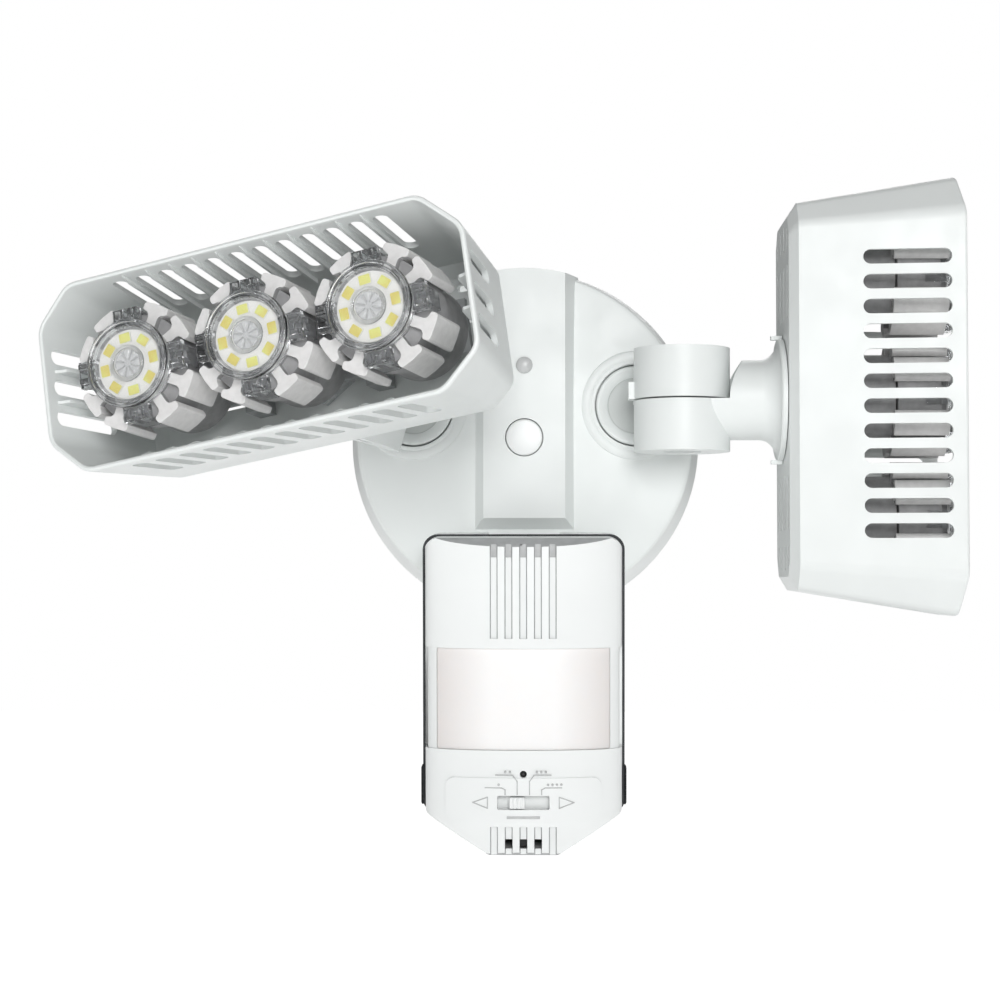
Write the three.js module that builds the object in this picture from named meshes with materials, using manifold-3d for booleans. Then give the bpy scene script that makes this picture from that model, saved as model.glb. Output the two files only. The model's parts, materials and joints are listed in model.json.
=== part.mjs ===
// A twin-head LED security floodlight with a motion sensor, for a wall junction box.
// Millimetres, +X to the right as seen from in front, +Y into the wall, +Z up.
// The origin is the centre of the canopy's rear rim, in the wall plane.
import * as THREE from 'three';
import { mergeVertices } from 'three/addons/utils/BufferGeometryUtils.js';
import { ConvexGeometry } from 'three/addons/geometries/ConvexGeometry.js';
import Module from 'manifold-3d';

const wasm = await Module();
wasm.setup();

// ---------------------------------------------------------------- driving dimensions
const GAP = 0.3;                // clearance between pieces that touch or turn on each other

const CANOPY_R = 65;            // rear rim radius: covers a 4 inch round junction box
const CANOPY_FRONT_R = 61;      // front edge radius, after the side wall's draft
const CANOPY_DEPTH = 30;        // wall plane to the flat of the front face
const CANOPY_WALL = 3;
const LEDGE_Y = -3.5;           // ledge behind the rim that backs the gasket
const LEDGE_INNER_R = 51.4;
const RIDGE_FACE_Y = -38.5;     // front face of the vertical ridge
const RIDGE_FACE_HALF = 14.7;
const RIDGE_BASE_HALF = 19.6;
const RIDGE_BOTTOM_Z = -32;
const SCREW_CAP_R = 6.6;
const SCREW_POCKET = 6;         // depth of the pocket that takes the screw head and its cap
const PLUG_Z = 26;
const PLUG_R = 3;

const SOCKET_X = 40.3;          // arm sockets, either side of the ridge
const SOCKET_Z = 12;
const SOCKET_RING_R = 19.4;     // raised ring round each socket
const ROTOR_R = 14.4;           // disc of the arm that turns in the socket
const SPIGOT_R = 8;
const SPIGOT_BORE_R = 5;        // wire passage

const KNUCKLE_OUT = 15.4;       // knuckle axis from the socket axis, outboard
const KNUCKLE_FORWARD = 23;     // knuckle axis in front of the canopy face
const KNUCKLE_R = 16.9;
const KNUCKLE_HALF = 18.2;      // height of each half
const KNUCKLE_BOLT_R = 4;
const NECK_R = 14.1;
const NECK_CLEAR_R = 21.2;      // the neck is cut back to this round the upper half
const FLANGE_R = 21.4;

const PANEL_Y = -35.5;          // lamp back panel from the knuckle axis, along the neck
const WALL_START_Y = -38.5;     // where the bevelled panel edge meets the side walls
const RIM_Y = -95;
const SHROUD_WALL = 2;
const PANEL_SIZE = [124.4, 43.6, 6.5, 5.5];      // length, width, corner cut along each
const REAR_SIZE = [133.8, 53, 8.1, 7];
const RIM_SIZE = [151.5, 64, 13.1, 12.4];
const SLOT_PITCH = 8.49;
const SLOT_COUNT = 12;
const SLOT_WIDTH = 5;
const SLOT_START_Y = -60.1;
const SLOT_END_Y = -89.8;
const END_SLOT_PITCH = 10.4;
const SLOT_END_SEGMENTS = 2;    // straight segments in each round slot end
const VENT_COLUMNS = [-16.5, -5.5, 5.5, 16.5];
const VENT_SPANS = [[27, 46], [51.5, 60]];       // from the centre, along the long axis
const VENT_WIDTH = 2.6;

const MODULE_PITCH = SLOT_PITCH * 5;
const FIN_FRONT_Y = -91;
const FIN_REAR_Y = -72;
const FIN_SPREAD = 16.5;        // degrees from each diagonal to the two fins beside it
const SINK_BACK_Y = -51.4;
const BOARD_FRONT_Y = -94.8;
const BOARD_R = 11.3;
const LED_RING_R = 8.8;
const LED_PHASE = -4;           // degrees, first chip from the top
const COVER_FRONT_Y = -97.4;
const COVER_RING_R = 14.5;

const PAN_AXIS_Y = -52;         // sensor pan axis, in front of the wall
const TILT_AXIS_Y = -64;
const TILT_AXIS_Z = -50;
const TILT_BARREL_R = 4.4;
const TILT_PIN_R = 2.2;
const SENSOR_REST_TILT = 4;     // degrees, face turned down
const SENSOR_HALF = 34.1;       // half width of the front cover at its rear edge
const SENSOR_TOP = 14;          // heights from the tilt axis
const SENSOR_BOTTOM = -94;
const SENSOR_TAPER = -81;
const SENSOR_FOOT_HALF = 11.6;
const SENSOR_FRONT = -20;
const SENSOR_SPLIT = -2;        // gasket plane
const SENSOR_REAR = 18;
const WINDOW_HALF = 29.6;
const WINDOW_TOP = -23.4;
const WINDOW_BOTTOM = -58.1;
const GROOVE_PITCH = 5;
const GROOVE_WIDTH = 2.7;
const INDICATOR_Z = -66.1;
const SWITCH_Z = -75.8;
const SWITCH_HALF = 8.9;
const KNOB_REST_X = -2.1;

// The heads as they stand: swivel in the socket, turn of the knuckle, roll on the neck.
const HEADS = [
  { name: 'left', side: -1, swivel: 16.2, turn: 20, roll: -25.6 },
  { name: 'right', side: 1, swivel: 0, turn: 90, roll: -90 },
];

// ---------------------------------------------------------------- materials
const materials = {
  shell: new THREE.MeshStandardMaterial({ color: 0xe9ecec, roughness: 0.42 }),
  sensorShell: new THREE.MeshStandardMaterial({ color: 0xf1f3f3, roughness: 0.35 }),
  ceramic: new THREE.MeshStandardMaterial({ color: 0xdedbd6, roughness: 0.55 }),
  clear: new THREE.MeshStandardMaterial({
    color: 0xdfe6e8,
    roughness: 0.08,
    transparent: true,
    opacity: 0.35,
  }),
  board: new THREE.MeshStandardMaterial({ color: 0xf4f4f0, roughness: 0.5 }),
  window: new THREE.MeshStandardMaterial({ color: 0xfaf4ee, roughness: 0.45 }),
  darkSeal: new THREE.MeshStandardMaterial({ color: 0x3a3d40, roughness: 0.8 }),
  carrier: new THREE.MeshStandardMaterial({ color: 0xa9adad, roughness: 0.5 }),
  steel: new THREE.MeshStandardMaterial({ color: 0xb9bcbf, roughness: 0.35, metalness: 1 }),
  greyPlastic: new THREE.MeshStandardMaterial({ color: 0x6f7477, roughness: 0.6 }),
  circuit: new THREE.MeshStandardMaterial({ color: 0x2f6b46, roughness: 0.5 }),
};

// ---------------------------------------------------------------- solids
function signedVolume(vertices, triangles) {
  const a = new THREE.Vector3();
  const b = new THREE.Vector3();
  const c = new THREE.Vector3();
  let total = 0;
  for (let i = 0; i < triangles.length; i += 3) {
    a.fromArray(vertices, triangles[i] * 3);
    b.fromArray(vertices, triangles[i + 1] * 3);
    c.fromArray(vertices, triangles[i + 2] * 3);
    total += a.dot(b.cross(c));
  }
  return total;
}

// Turns a closed three.js geometry into a solid, with its faces pointing out.
function solid(geometry) {
  const bare = geometry.clone();
  bare.deleteAttribute('normal');
  bare.deleteAttribute('uv');
  const merged = mergeVertices(bare, 1e-4);
  const vertProperties = new Float32Array(merged.attributes.position.array);
  const triVerts = new Uint32Array(merged.index.array);
  if (signedVolume(vertProperties, triVerts) < 0) {
    for (let i = 0; i < triVerts.length; i += 3) {
      [triVerts[i + 1], triVerts[i + 2]] = [triVerts[i + 2], triVerts[i + 1]];
    }
  }
  return new wasm.Manifold(new wasm.Mesh({ numProp: 3, vertProperties, triVerts }));
}

function toGeometry(shape) {
  const mesh = shape.getMesh();
  const geometry = new THREE.BufferGeometry();
  geometry.setAttribute('position', new THREE.BufferAttribute(mesh.vertProperties, 3));
  geometry.setIndex(new THREE.BufferAttribute(mesh.triVerts, 1));
  geometry.computeVertexNormals();
  return geometry;
}

function piece(name, shape, material) {
  const mesh = new THREE.Mesh(toGeometry(shape), material);
  mesh.name = name;
  return mesh;
}

function box(x0, x1, y0, y1, z0, z1) {
  const geometry = new THREE.BoxGeometry(x1 - x0, y1 - y0, z1 - z0);
  return solid(geometry.translate((x0 + x1) / 2, (y0 + y1) / 2, (z0 + z1) / 2));
}

// Cylinders between two levels on their own axis; the first radius is at the first level.
function rodY(r0, r1, y0, y1, x = 0, z = 0, segments = 20) {
  const geometry = new THREE.CylinderGeometry(r1, r0, y1 - y0, segments);
  return solid(geometry.translate(x, (y0 + y1) / 2, z));
}

function rodZ(r, z0, z1, x = 0, y = 0, segments = 24) {
  const geometry = new THREE.CylinderGeometry(r, r, z1 - z0, segments).rotateX(Math.PI / 2);
  return solid(geometry.translate(x, y, (z0 + z1) / 2));
}

function rodX(r, x0, x1, y = 0, z = 0, segments = 16) {
  const geometry = new THREE.CylinderGeometry(r, r, x1 - x0, segments).rotateZ(Math.PI / 2);
  return solid(geometry.translate((x0 + x1) / 2, y, z));
}

// A profile of [radius, y] points turned about the Y axis.
function turned(profile, segments = 24) {
  const points = profile.map(([r, y]) => new THREE.Vector2(r, y));
  return solid(new THREE.LatheGeometry(points, segments));
}

function hull(points) {
  return solid(new ConvexGeometry(points.map((p) => new THREE.Vector3(...p))));
}

// An outline in the X-Z plane, extruded from y0 (rear) forward to y1.
function plate(shape, y0, y1, curveSegments = 4) {
  const options = { depth: y0 - y1, bevelEnabled: false, curveSegments };
  const geometry = new THREE.ExtrudeGeometry(shape, options).rotateX(Math.PI / 2);
  return solid(geometry.translate(0, y0, 0));
}

// A plan section in the X-Y plane, extruded from z0 up to z1.
function column(shape, z0, z1, curveSegments = 6) {
  const options = { depth: z1 - z0, bevelEnabled: false, curveSegments };
  return solid(new THREE.ExtrudeGeometry(shape, options).translate(0, 0, z0));
}

function roundedRect(x0, x1, z0, z1, r) {
  const shape = new THREE.Shape();
  shape.moveTo(x0 + r, z0);
  shape.lineTo(x1 - r, z0);
  shape.absarc(x1 - r, z0 + r, r, -Math.PI / 2, 0);
  shape.lineTo(x1, z1 - r);
  shape.absarc(x1 - r, z1 - r, r, 0, Math.PI / 2);
  shape.lineTo(x0 + r, z1);
  shape.absarc(x0 + r, z1 - r, r, Math.PI / 2, Math.PI);
  shape.lineTo(x0, z0 + r);
  shape.absarc(x0 + r, z0 + r, r, Math.PI, Math.PI * 1.5);
  return shape;
}

const radians = THREE.MathUtils.degToRad;

// ---------------------------------------------------------------- canopy
function ridgeHull(faceHalf, baseHalf, faceY, baseY, bottomFace, bottomBase, top) {
  return hull([
    [-faceHalf, faceY, bottomFace], [faceHalf, faceY, bottomFace],
    [-faceHalf, faceY, top], [faceHalf, faceY, top],
    [-baseHalf, baseY, bottomBase], [baseHalf, baseY, bottomBase],
    [-baseHalf, baseY, top], [baseHalf, baseY, top],
  ]);
}

function canopyHousing() {
  const faceY = -CANOPY_DEPTH;
  const innerY = faceY + CANOPY_WALL;
  let body = turned([
    [0, faceY - 1.4], [40, faceY - 0.9], [60.2, faceY + 0.2], [CANOPY_FRONT_R, faceY + 1.4],
    [CANOPY_R, 0], [CANOPY_R - 2.6, 0], [CANOPY_FRONT_R - 2.4, innerY], [0, innerY - 0.4],
  ], 48);

  // The ridge runs from the top edge down to the sensor, hollow behind its face.
  const edge = rodY(CANOPY_FRONT_R + 0.5, CANOPY_R - 0.4, RIDGE_FACE_Y - 0.01, -2, 0, 0, 48);
  const ridge = ridgeHull(RIDGE_FACE_HALF, RIDGE_BASE_HALF, RIDGE_FACE_Y, innerY,
    RIDGE_BOTTOM_Z + 3, RIDGE_BOTTOM_Z - 3, 80).intersect(edge);
  const hollow = ridgeHull(RIDGE_FACE_HALF - 2.6, RIDGE_BASE_HALF - 2.6, RIDGE_FACE_Y + 2.6,
    innerY + 0.5, RIDGE_BOTTOM_Z + 6, RIDGE_BOTTOM_Z + 3, 54);
  body = body.add(ridge).subtract(hollow);

  // Ledge inside the rear rim that backs the gasket.
  body = body.add(turned([
    [LEDGE_INNER_R, LEDGE_Y], [CANOPY_R - 2.2, LEDGE_Y], [CANOPY_R - 2.2, LEDGE_Y - 1.6],
    [LEDGE_INNER_R, LEDGE_Y - 1.6], [LEDGE_INNER_R, LEDGE_Y],
  ], 48));

  // Centre screw column and the pocket for its cap.
  const columnFront = RIDGE_FACE_Y + SCREW_POCKET + 2;
  body = body.add(rodY(9.2, 9.2, RIDGE_FACE_Y + 1, columnFront)).add(rodY(6, 6, columnFront - 0.5, -12));
  body = body.subtract(rodY(2.6, 2.6, RIDGE_FACE_Y - 1, -11));
  const pocketR = SCREW_CAP_R + GAP;
  body = body.subtract(rodY(pocketR, pocketR, RIDGE_FACE_Y - 1, RIDGE_FACE_Y + SCREW_POCKET));
  body = body.subtract(rodY(2.2, 2.2, RIDGE_FACE_Y - 1, RIDGE_FACE_Y + 4, 0, PLUG_Z, 16));

  // Arm sockets: a raised ring outside, a boss inside, a pocket and a bore.
  for (const side of [-1, 1]) {
    const x = side * SOCKET_X;
    const ring = turned([
      [15.1, innerY - 1], [SOCKET_RING_R, innerY - 1], [SOCKET_RING_R, faceY - 0.9],
      [SOCKET_RING_R - 1, faceY - 1.9], [15.1, faceY - 1.9], [15.1, innerY - 1],
    ]);
    body = body.add(ring.translate([x, 0, SOCKET_Z]));
    body = body.add(rodY(18, 18, faceY + 1, faceY + 6.5, x, SOCKET_Z));
    body = body.subtract(rodY(ROTOR_R + 0.45, ROTOR_R + 0.45, faceY - 4, faceY + 2.6, x, SOCKET_Z, 24));
    body = body.subtract(rodY(SPIGOT_R + GAP, SPIGOT_R + GAP, faceY, faceY + 8, x, SOCKET_Z));
  }

  // Pad under the ridge that carries the sensor stalk.
  body = body.add(box(-11, 11, faceY - 2.4, innerY, -57, RIDGE_BOTTOM_Z - 4));
  return piece('canopy_housing', body, materials.shell);
}

function canopyGasket() {
  const inner = LEDGE_INNER_R + 0.6;
  const outer = CANOPY_R - 3.8;
  const front = LEDGE_Y + GAP;
  const ring = turned([[inner, -0.2], [outer, -0.2], [outer, front], [inner, front], [inner, -0.2]], 36);
  return piece('canopy_gasket', ring, materials.darkSeal);
}

// Steel strip that screws to the junction box; the canopy's centre screw pulls against it.
function mountingBar() {
  let bar = box(-47, 47, -3.4, -1.6, -9, 9);
  bar = bar.add(rodY(6.5, 6.5, -7.5, -1.6));
  bar = bar.subtract(rodY(2.6, 2.6, -8, 0));
  for (const side of [-1, 1]) {
    const slot = roundedRect(side * 36 - 8, side * 36 + 8, -2.6, 2.6, 2.59);
    bar = bar.subtract(plate(slot, 0, -5));
  }
  return piece('mounting_bar', bar, materials.steel);
}

function boxScrew(name, x) {
  const head = rodY(4.6, 4.6, -6.2, -3.7, x, 0, 20);
  const shank = rodY(2, 2, -3.9, -0.2, x, 0, 16);
  const cross = box(x - 3, x + 3, -7, -5.2, -0.5, 0.5);
  return piece(name, head.add(shank).subtract(cross), materials.steel);
}

function centreScrew() {
  const seat = RIDGE_FACE_Y + SCREW_POCKET - GAP;
  let screw = rodY(4.6, 4.6, seat - 2.9, seat).add(rodY(2.2, 2.2, seat - 1, -1, 0, 0, 16));
  screw = screw.subtract(box(-3.2, 3.2, seat - 4, seat - 1.6, -0.6, 0.6));
  return piece('centre_screw', screw, materials.steel);
}

function screwCap() {
  const y = RIDGE_FACE_Y;
  const cap = turned([
    [0, y - 0.5], [SCREW_CAP_R - 1, y - 0.4], [SCREW_CAP_R, y + 0.2], [SCREW_CAP_R, y + 2], [0, y + 2],
  ], 20);
  return piece('screw_cap', cap, materials.shell);
}

function ridgePlug() {
  const y = RIDGE_FACE_Y;
  const plug = turned([
    [0, y - 1.5], [1.3, y - 1.3], [2.4, y - 0.8], [PLUG_R, y - 0.3], [1.9, y - 0.3],
    [1.9, y + 3.4], [0, y + 3.4],
  ], 16).translate([0, 0, PLUG_Z]);
  return piece('ridge_plug', plug, materials.window);
}

// Potted LED driver, between the sockets and the top of the canopy.
function driverHousing() {
  const outline = roundedRect(-26, 26, 33.5, 52.5, 3);
  return piece('driver_housing', plate(outline, -7, -24), materials.greyPlastic);
}

function terminalBlock() {
  let block = box(-15, 15, -21, -11, -27, -16);
  for (const x of [-10, 0, 10]) {
    block = block.subtract(rodY(2.2, 2.2, -16, -10, x, -21.5, 12));
  }
  return piece('terminal_block', block, materials.board);
}

// ---------------------------------------------------------------- arms and necks
// An arm's own frame has its origin on the socket axis in the canopy's front face.
function arm(head) {
  let body = turned([
    [0, 1], [9.4, 1], [10.6, -0.2], [ROTOR_R - 1, -1.5], [ROTOR_R, -1.1], [ROTOR_R, 2.3],
    [SPIGOT_R, 2.3], [SPIGOT_R, 13], [0, 13],
  ]);
  const axisX = head.side * KNUCKLE_OUT;
  const low = GAP;
  const inner = axisX - head.side * (KNUCKLE_R - 0.6);
  const outer = axisX - head.side * 2;
  body = body.add(box(Math.min(inner, outer), Math.max(inner, outer), -KNUCKLE_FORWARD, 1.2, low, 13));
  const throat = rodY(ROTOR_R, ROTOR_R, -2.4, 14, 0, 0, 24);
  body = body.intersect(throat.add(box(-40, 40, -60, -2.3, -40, 40)));
  body = body.add(rodZ(KNUCKLE_R, low, KNUCKLE_HALF, axisX, -KNUCKLE_FORWARD, 30));
  const stopX = axisX - head.side * (KNUCKLE_R + 0.3);
  body = body.add(box(stopX - 1.6, stopX + 1.6, -KNUCKLE_FORWARD - 2, -KNUCKLE_FORWARD + 5, low, 6.4));
  body = body.subtract(rodZ(KNUCKLE_BOLT_R + GAP, low - 1, KNUCKLE_HALF - 3, axisX, -KNUCKLE_FORWARD, 16));
  body = body.subtract(rodY(SPIGOT_BORE_R, SPIGOT_BORE_R, 2.2, 14, 0, 0, 16));
  return piece(`arm_${head.name}`, body, materials.shell);
}

function hexNut(name, outer, bore, y0, y1) {
  const nut = rodY(outer, outer, y0, y1, 0, 0, 6).subtract(rodY(bore, bore, y0 - 1, y1 + 1, 0, 0, 18));
  return piece(name, nut, materials.steel);
}

function knuckleBolt(head) {
  const axisX = head.side * KNUCKLE_OUT;
  const bottom = -KNUCKLE_HALF + 1;
  let bolt = rodZ(KNUCKLE_BOLT_R, bottom + 2, KNUCKLE_HALF - 3.4, axisX, -KNUCKLE_FORWARD, 16);
  bolt = bolt.add(rodZ(6.4, bottom, bottom + 3, axisX, -KNUCKLE_FORWARD, 16));
  bolt = bolt.subtract(rodZ(2.4, bottom - 1, bottom + 1.8, axisX, -KNUCKLE_FORWARD, 6));
  return piece(`knuckle_bolt_${head.name}`, bolt, materials.steel);
}

// A neck's own frame has its origin where the knuckle axis meets the neck axis, front to -Y.
function neck(head) {
  let body = rodY(NECK_R, NECK_R, PANEL_Y + 2, 0, 0, 0, 28);
  body = body.subtract(rodZ(NECK_CLEAR_R, -GAP, 30, 0, 0, 36));
  body = body.add(rodZ(KNUCKLE_R, -KNUCKLE_HALF, -GAP, 0, 0, 30));
  body = body.add(turned([
    [0, PANEL_Y + GAP], [FLANGE_R, PANEL_Y + GAP], [FLANGE_R, PANEL_Y + 2],
    [17, PANEL_Y + 4.6], [NECK_R - 0.1, PANEL_Y + 8.4], [0, PANEL_Y + 8.4],
  ], 28));
  for (const sign of [-1, 1]) {
    const tab = box(-1.4, 1.4, PANEL_Y + 0.4, PANEL_Y + 4.2, -0.7, 0.7);
    body = body.add(tab.translate([0, 0, sign * (FLANGE_R + 0.5)]));
  }
  body = body.add(rodY(SPIGOT_R, SPIGOT_R, PANEL_Y - 9, PANEL_Y + 2));
  body = body.subtract(rodY(SPIGOT_BORE_R, SPIGOT_BORE_R, PANEL_Y - 10, -20, 0, 0, 16));
  body = body.subtract(rodZ(KNUCKLE_BOLT_R + GAP, -40, 1, 0, 0, 16));
  body = body.subtract(rodZ(6.8, -40, -KNUCKLE_HALF + 4.3, 0, 0, 16));
  body = body.subtract(rodZ(9.3, -1.6, 1, 0, 0, 20));
  return piece(`neck_${head.name}`, body, materials.shell);
}

function frictionWasher(head) {
  const washer = rodZ(9, -1.3, 0, 0, 0, 20).subtract(rodZ(4.6, -2, 1, 0, 0, 16));
  return piece(`friction_washer_${head.name}`, washer, materials.darkSeal);
}

// ---------------------------------------------------------------- lamp
// A lamp's own frame is its neck's: front to -Y, long axis X, short axis Z.
function octagon([length, width, cutLong, cutShort], y, inset = 0, endBack = 0) {
  const a = length / 2 - inset;
  const b = width / 2 - inset;
  const points = [];
  for (const [sx, sz] of [[1, 1], [1, -1], [-1, -1], [-1, 1]]) {
    points.push([sx * (a - cutLong), y, sz * b]);
    points.push([sx * a, y + endBack, sz * (b - cutShort)]);
  }
  return points;
}

function slotAt(x, halfWidth) {
  const shape = new THREE.Shape();
  shape.absarc(x, -SLOT_START_Y + halfWidth, halfWidth, Math.PI, Math.PI * 2);
  shape.absarc(x, -SLOT_END_Y - halfWidth, halfWidth, 0, Math.PI);
  return shape;
}

// A stadium cutter that runs right through both long walls.
function longWallCutter(x) {
  const options = { depth: 90, bevelEnabled: false, curveSegments: SLOT_END_SEGMENTS };
  const geometry = new THREE.ExtrudeGeometry(slotAt(x, SLOT_WIDTH / 2), options);
  return solid(geometry.scale(1, -1, 1).translate(0, 0, -45));
}

function endWallCutter(z) {
  const options = { depth: 180, bevelEnabled: false, curveSegments: SLOT_END_SEGMENTS };
  const geometry = new THREE.ExtrudeGeometry(slotAt(z, SLOT_WIDTH / 2), options);
  return solid(geometry.scale(1, -1, 1).rotateY(-Math.PI / 2).translate(90, 0, 0));
}

function shroud(head) {
  const outer = hull([
    ...octagon(PANEL_SIZE, PANEL_Y), ...octagon(REAR_SIZE, WALL_START_Y), ...octagon(RIM_SIZE, RIM_Y, 0, 1.5),
  ]);
  const inner = hull([
    ...octagon(PANEL_SIZE, PANEL_Y - SHROUD_WALL, SHROUD_WALL - 0.4),
    ...octagon(REAR_SIZE, WALL_START_Y - SHROUD_WALL * 0.8, SHROUD_WALL),
    ...octagon(RIM_SIZE, RIM_Y - 4, SHROUD_WALL - 0.4),
  ]);
  let body = outer.subtract(inner);
  for (let i = 0; i < SLOT_COUNT; i += 1) {
    body = body.subtract(longWallCutter((i - (SLOT_COUNT - 1) / 2) * SLOT_PITCH));
  }
  for (const i of [-1, 0, 1]) {
    body = body.subtract(endWallCutter(i * END_SLOT_PITCH));
  }
  for (const z of VENT_COLUMNS) {
    for (const [near, far] of VENT_SPANS) {
      for (const side of [-1, 1]) {
        const x0 = Math.min(side * near, side * far);
        const x1 = Math.max(side * near, side * far);
        const long = Math.abs(z) > 10 && far > 55 ? 1.5 : 0;
        body = body.subtract(box(x0 + (side < 0 ? long : 0), x1 - (side > 0 ? long : 0),
          PANEL_Y - 6, PANEL_Y + 1, z - VENT_WIDTH / 2, z + VENT_WIDTH / 2));
      }
    }
  }
  body = body.subtract(rodY(SPIGOT_R + GAP, SPIGOT_R + GAP, PANEL_Y - 6, PANEL_Y + 1));
  return piece(`shroud_${head.name}`, body, materials.shell);
}

// Bridge over the neck's nut that the three lamp modules are screwed to.
function moduleCarrier(head) {
  const floor = PANEL_Y - SHROUD_WALL - GAP;
  let body = box(-58, 58, -51, -48.6, -9, 9);
  for (const x of [-MODULE_PITCH / 2 - 1, MODULE_PITCH / 2 + 1]) {
    body = body.add(box(x - 3, x + 3, -49, floor, -12, 12));
  }
  for (const i of [-1, 0, 1]) {
    body = body.add(rodY(13, 13, -51, -48.6, i * MODULE_PITCH, 0, 16));
  }
  return piece(`module_carrier_${head.name}`, body, materials.carrier);
}

// One finned outline: a hub with eight T-shaped fins in four pairs on the diagonals.
function finOutline(hub, stemHalf, headHalf, headInner, headOuter) {
  const shape = new THREE.Shape();
  const angles = [];
  for (const diagonal of [45, 135, 225, 315]) {
    angles.push(radians(diagonal - FIN_SPREAD), radians(diagonal + FIN_SPREAD));
  }
  const at = (angle, along, across) => [
    along * Math.cos(angle) - across * Math.sin(angle),
    along * Math.sin(angle) + across * Math.cos(angle),
  ];
  angles.forEach((angle, index) => {
    const root = Math.sqrt(hub * hub - stemHalf * stemHalf);
    const corners = [
      [root, -stemHalf], [headInner, -stemHalf], [headInner, -headHalf], [headOuter, -headHalf],
      [headOuter, headHalf], [headInner, headHalf], [headInner, stemHalf], [root, stemHalf],
    ];
    corners.forEach(([along, across], i) => {
      const [x, y] = at(angle, along, across);
      if (index === 0 && i === 0) shape.moveTo(x, y);
      else shape.lineTo(x, y);
    });
    const next = angles[(index + 1) % angles.length] + (index === angles.length - 1 ? Math.PI * 2 : 0);
    const middle = (angle + next) / 2;
    const half = (next - angle) / 2 - Math.asin(stemHalf / hub);
    for (const t of half > 0.3 ? [-0.4, 0.4] : [0]) {
      shape.lineTo(hub * Math.cos(middle + t * half), hub * Math.sin(middle + t * half));
    }
  });
  return shape;
}

function heatSink(head, index, x) {
  let body = plate(finOutline(12, 2.1, 4.5, 18.2, 20.9), FIN_REAR_Y, FIN_FRONT_Y);
  body = body.add(rodY(11.4, 11.4, BOARD_FRONT_Y + 1.5, FIN_FRONT_Y + 2, 0, 0, 16));
  body = body.add(rodY(15.5, 15.5, FIN_REAR_Y - 1, SINK_BACK_Y, 0, 0, 16));
  const sink = piece(`heat_sink_${head.name}_${index}`, body, materials.ceramic);
  sink.position.x = x;
  return sink;
}

function ledBoard(head, index, x) {
  let body = rodY(BOARD_R, BOARD_R, BOARD_FRONT_Y, BOARD_FRONT_Y + 1.1, 0, 0, 16);
  for (let i = 0; i < 8; i += 1) {
    const chip = box(-2.1, 2.1, BOARD_FRONT_Y - 0.7, BOARD_FRONT_Y + 0.3, LED_RING_R - 1.7, LED_RING_R + 1.7);
    body = body.add(chip.rotate([0, LED_PHASE + i * 45, 0]));
  }
  const board = piece(`led_board_${head.name}_${index}`, body, materials.board);
  board.position.x = x;
  return board;
}

// Clear cover: face, raised ring, collar round the board and four clips on the lamp's axes.
function lensCover(head, index, x) {
  const front = COVER_FRONT_Y;
  let body = turned([
    [0, front + 0.5], [12, front], [COVER_RING_R, front], [COVER_RING_R, front + 2],
    [13.4, -91.4], [11.9, -91.4], [11.9, front + 1.6], [0, front + 1.6],
  ], 18);
  for (let i = 0; i < 4; i += 1) {
    const clip = box(-4.4, 4.4, -94.5, -91.4, 12.2, 18.6).add(box(-3, 3, -93, -83, 16.4, 18.6));
    body = body.add(clip.rotate([0, i * 90, 0]));
  }
  const cover = piece(`lens_cover_${head.name}_${index}`, body, materials.clear);
  cover.position.x = x;
  return cover;
}

function lamp(head) {
  const group = new THREE.Group();
  group.rotation.y = radians(head.roll);
  group.add(shroud(head), moduleCarrier(head));
  group.add(hexNut(`lamp_nut_${head.name}`, 13, SPIGOT_R + GAP, PANEL_Y - 8, PANEL_Y - SHROUD_WALL - GAP));
  [-1, 0, 1].forEach((place, i) => {
    const x = place * MODULE_PITCH;
    group.add(heatSink(head, i + 1, x), ledBoard(head, i + 1, x), lensCover(head, i + 1, x));
  });
  return group;
}

function headAssembly(head) {
  const armGroup = new THREE.Group();
  armGroup.position.set(head.side * SOCKET_X, -CANOPY_DEPTH, SOCKET_Z);
  armGroup.rotation.y = radians(head.swivel);
  armGroup.add(arm(head), knuckleBolt(head));
  armGroup.add(hexNut(`arm_nut_${head.name}`, 12, SPIGOT_R + GAP, 7, 12));
  const neckGroup = new THREE.Group();
  neckGroup.position.set(head.side * KNUCKLE_OUT, -KNUCKLE_FORWARD, 0);
  neckGroup.rotation.z = radians(head.side * head.turn);
  neckGroup.add(neck(head), frictionWasher(head), lamp(head));
  armGroup.add(neckGroup);
  return armGroup;
}

// ---------------------------------------------------------------- sensor mount
// Fixed stalk on the canopy, ending in an upright eye on the pan axis.
function sensorStalk() {
  let body = box(-7, 7, PAN_AXIS_Y, -CANOPY_DEPTH - 2.7, -54.5, -45.5);
  body = body.add(rodZ(7, -54.5, -45.5, 0, PAN_AXIS_Y, 20));
  body = body.subtract(rodZ(3.3, -60, -40, 0, PAN_AXIS_Y, 16));
  return piece('sensor_stalk', body, materials.shell);
}

// Fork round the stalk's eye, with a cross barrel in front for the tilt pin.
function sensorYoke() {
  let body = box(-7, 7, TILT_AXIS_Y, PAN_AXIS_Y + 6.5, -59, -41);
  body = body.subtract(box(-8, 8, PAN_AXIS_Y - 7.4, PAN_AXIS_Y + 8, -54.9, -45.1));
  body = body.add(rodX(TILT_BARREL_R, -9.6, 9.6, TILT_AXIS_Y, TILT_AXIS_Z, 16));
  body = body.subtract(rodZ(3.3, -70, -30, 0, PAN_AXIS_Y, 16));
  body = body.subtract(rodX(TILT_PIN_R + GAP, -12, 12, TILT_AXIS_Y, TILT_AXIS_Z));
  return piece('sensor_yoke', body, materials.greyPlastic);
}

function panPin() {
  return piece('pan_pin', rodZ(3, -59.5, -40.5, 0, PAN_AXIS_Y, 16), materials.steel);
}

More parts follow.
